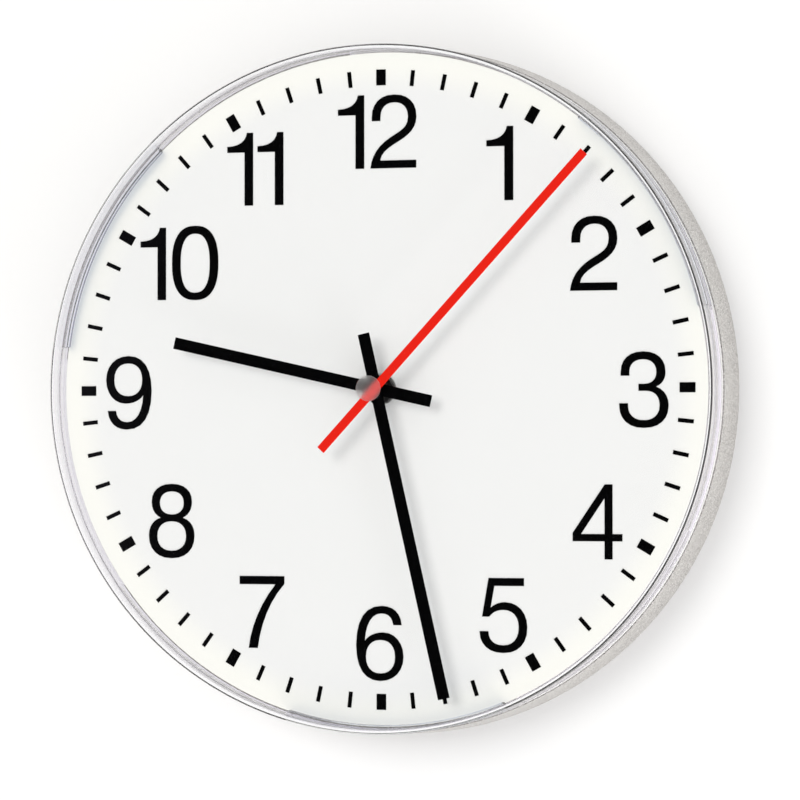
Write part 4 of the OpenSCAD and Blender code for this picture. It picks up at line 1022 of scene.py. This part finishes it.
# Wall behind the clock, open where the case covers it
wall_reach = 3000
wall_hole_r = 151
wall_steps = 72
bm = bmesh.new()
inner_ring, outer_ring = ([bm.verts.new(at_clock(radius, 360 / wall_steps * i, 0)) for i in range(wall_steps)]
                          for radius in (wall_hole_r, wall_reach))
for i in range(wall_steps):
    j = (i + 1) % wall_steps
    bm.faces.new((inner_ring[i], outer_ring[i], outer_ring[j], inner_ring[j]))
wall_mesh = bpy.data.meshes.new("wall")
bm.to_mesh(wall_mesh)
bm.free()
if wall_mesh.polygons[0].normal.y > 0:
    wall_mesh.flip_normals()
wall = bpy.data.objects.new("wall", wall_mesh)
bpy.context.scene.collection.objects.link(wall)

wall_paint, tree, shader = material("wall_paint")
plaster = use(tree, grain, {"Colour": rgb(0.80, 0.80, 0.80), "Size": 3.0, "Tone": 0.02, "Roughness": 0.9,
                            "Roughness change": 0.05})
coat(tree, shader, plaster.outputs["Colour"], plaster.outputs["Roughness"])
shader.inputs["Specular IOR Level"].default_value = 0.0
ray = put(tree, "LightPath")
seen = sum_of(tree, "MAXIMUM", ray.outputs["Is Camera Ray"],
              sum_of(tree, "MAXIMUM", ray.outputs["Is Glossy Ray"], ray.outputs["Is Transmission Ray"]))
glow = put(tree, "Emission", {"Color": rgb(1, 1, 1), "Strength": sum_of(tree, "MULTIPLY", seen, 0.135)})
lit = put(tree, "AddShader", {0: shader.outputs[0], 1: glow.outputs[0]})
behind = put(tree, "NewGeometry").outputs["Backfacing"]
open_back = put(tree, "BsdfTransparent", {"Color": rgb(1, 1, 1)})
either = put(tree, "MixShader", {0: behind, 1: lit.outputs[0], 2: open_back.outputs[0]})
tree.links.new(either.outputs[0], tree.nodes["Material Output"].inputs["Surface"])
wall_mesh.materials.append(wall_paint)


def lamp(name, direction, distance, size, power, colour=(1, 1, 1)):
    """A square soft lamp that looks at the middle of the clock and doesn't show in the cover."""
    light = bpy.data.lights.new(name, "AREA")
    light.size = size
    light.energy = power
    light.color = colour
    thing = bpy.data.objects.new(name, light)
    way = Vector(direction).normalized()
    thing.location = way * distance + Vector((0, -0.03, 0))
    thing.rotation_euler = way.to_track_quat("Z", "Y").to_euler()
    thing.visible_glossy = False
    thing.visible_transmission = False
    bpy.context.scene.collection.objects.link(thing)


lamp("key", (-0.316, -0.894, 0.316), 5.0, 2.4, 88.0, (1.0, 0.985, 0.955))
lamp("fill", (0.62, -0.08, -0.78), 3.0, 1.6, 76.0)
lamp("back", (0.25, 1.0, 0.35), 1.8, 1.2, 14.0)

# Studio: white for what the camera sees and soft for the light on the clock. Reflections find it white on the
# wall's side, toned at the sides and dark behind the camera.
world = bpy.data.worlds.new("studio")
bpy.context.scene.world = world
world.use_nodes = True
tree = world.node_tree
ray = put(tree, "LightPath")
way = put(tree, "SeparateXYZ", {0: put(tree, "TexCoord").outputs["Generated"]})
height = ramp(tree, way.outputs["Z"], -0.5, 0.5, interpolation="SMOOTHSTEP")
side_tone = colour_mix(tree, height, rgb(0.76, 0.69, 0.80), rgb(0.12, 0.13, 0.22))
to_wall = ramp(tree, way.outputs["Y"], -0.2, 0.1, interpolation="SMOOTHSTEP")
sideways = ramp(tree, way.outputs["Y"], -0.3, -0.85, 1.0, 0.0, "SMOOTHSTEP")
off_camera = ramp(tree, way.outputs["Y"], -0.72, -0.92, 1.0, 0.0, "SMOOTHSTEP")
mirrored = colour_mix(tree, to_wall, colour_mix(tree, off_camera, rgb(0, 0, 0), side_tone), rgb(1, 1, 1))
shiny = sum_of(tree, "MAXIMUM", ray.outputs["Is Glossy Ray"], ray.outputs["Is Transmission Ray"])
soft = colour_mix(tree, sideways, rgb(0.73, 0.727, 0.715), rgb(1.00, 0.995, 0.98))
studio_tone = colour_mix(tree, shiny, soft, mirrored)
studio_tone = colour_mix(tree, ray.outputs["Is Camera Ray"], studio_tone, rgb(1, 1, 1))
tree.links.new(studio_tone, tree.nodes["Background"].inputs["Color"])

scene = bpy.context.scene
scene.view_settings.view_transform = "Standard"
scene.cycles.max_bounces = 16
scene.cycles.transmission_bounces = 12
scene.cycles.transparent_max_bounces = 16
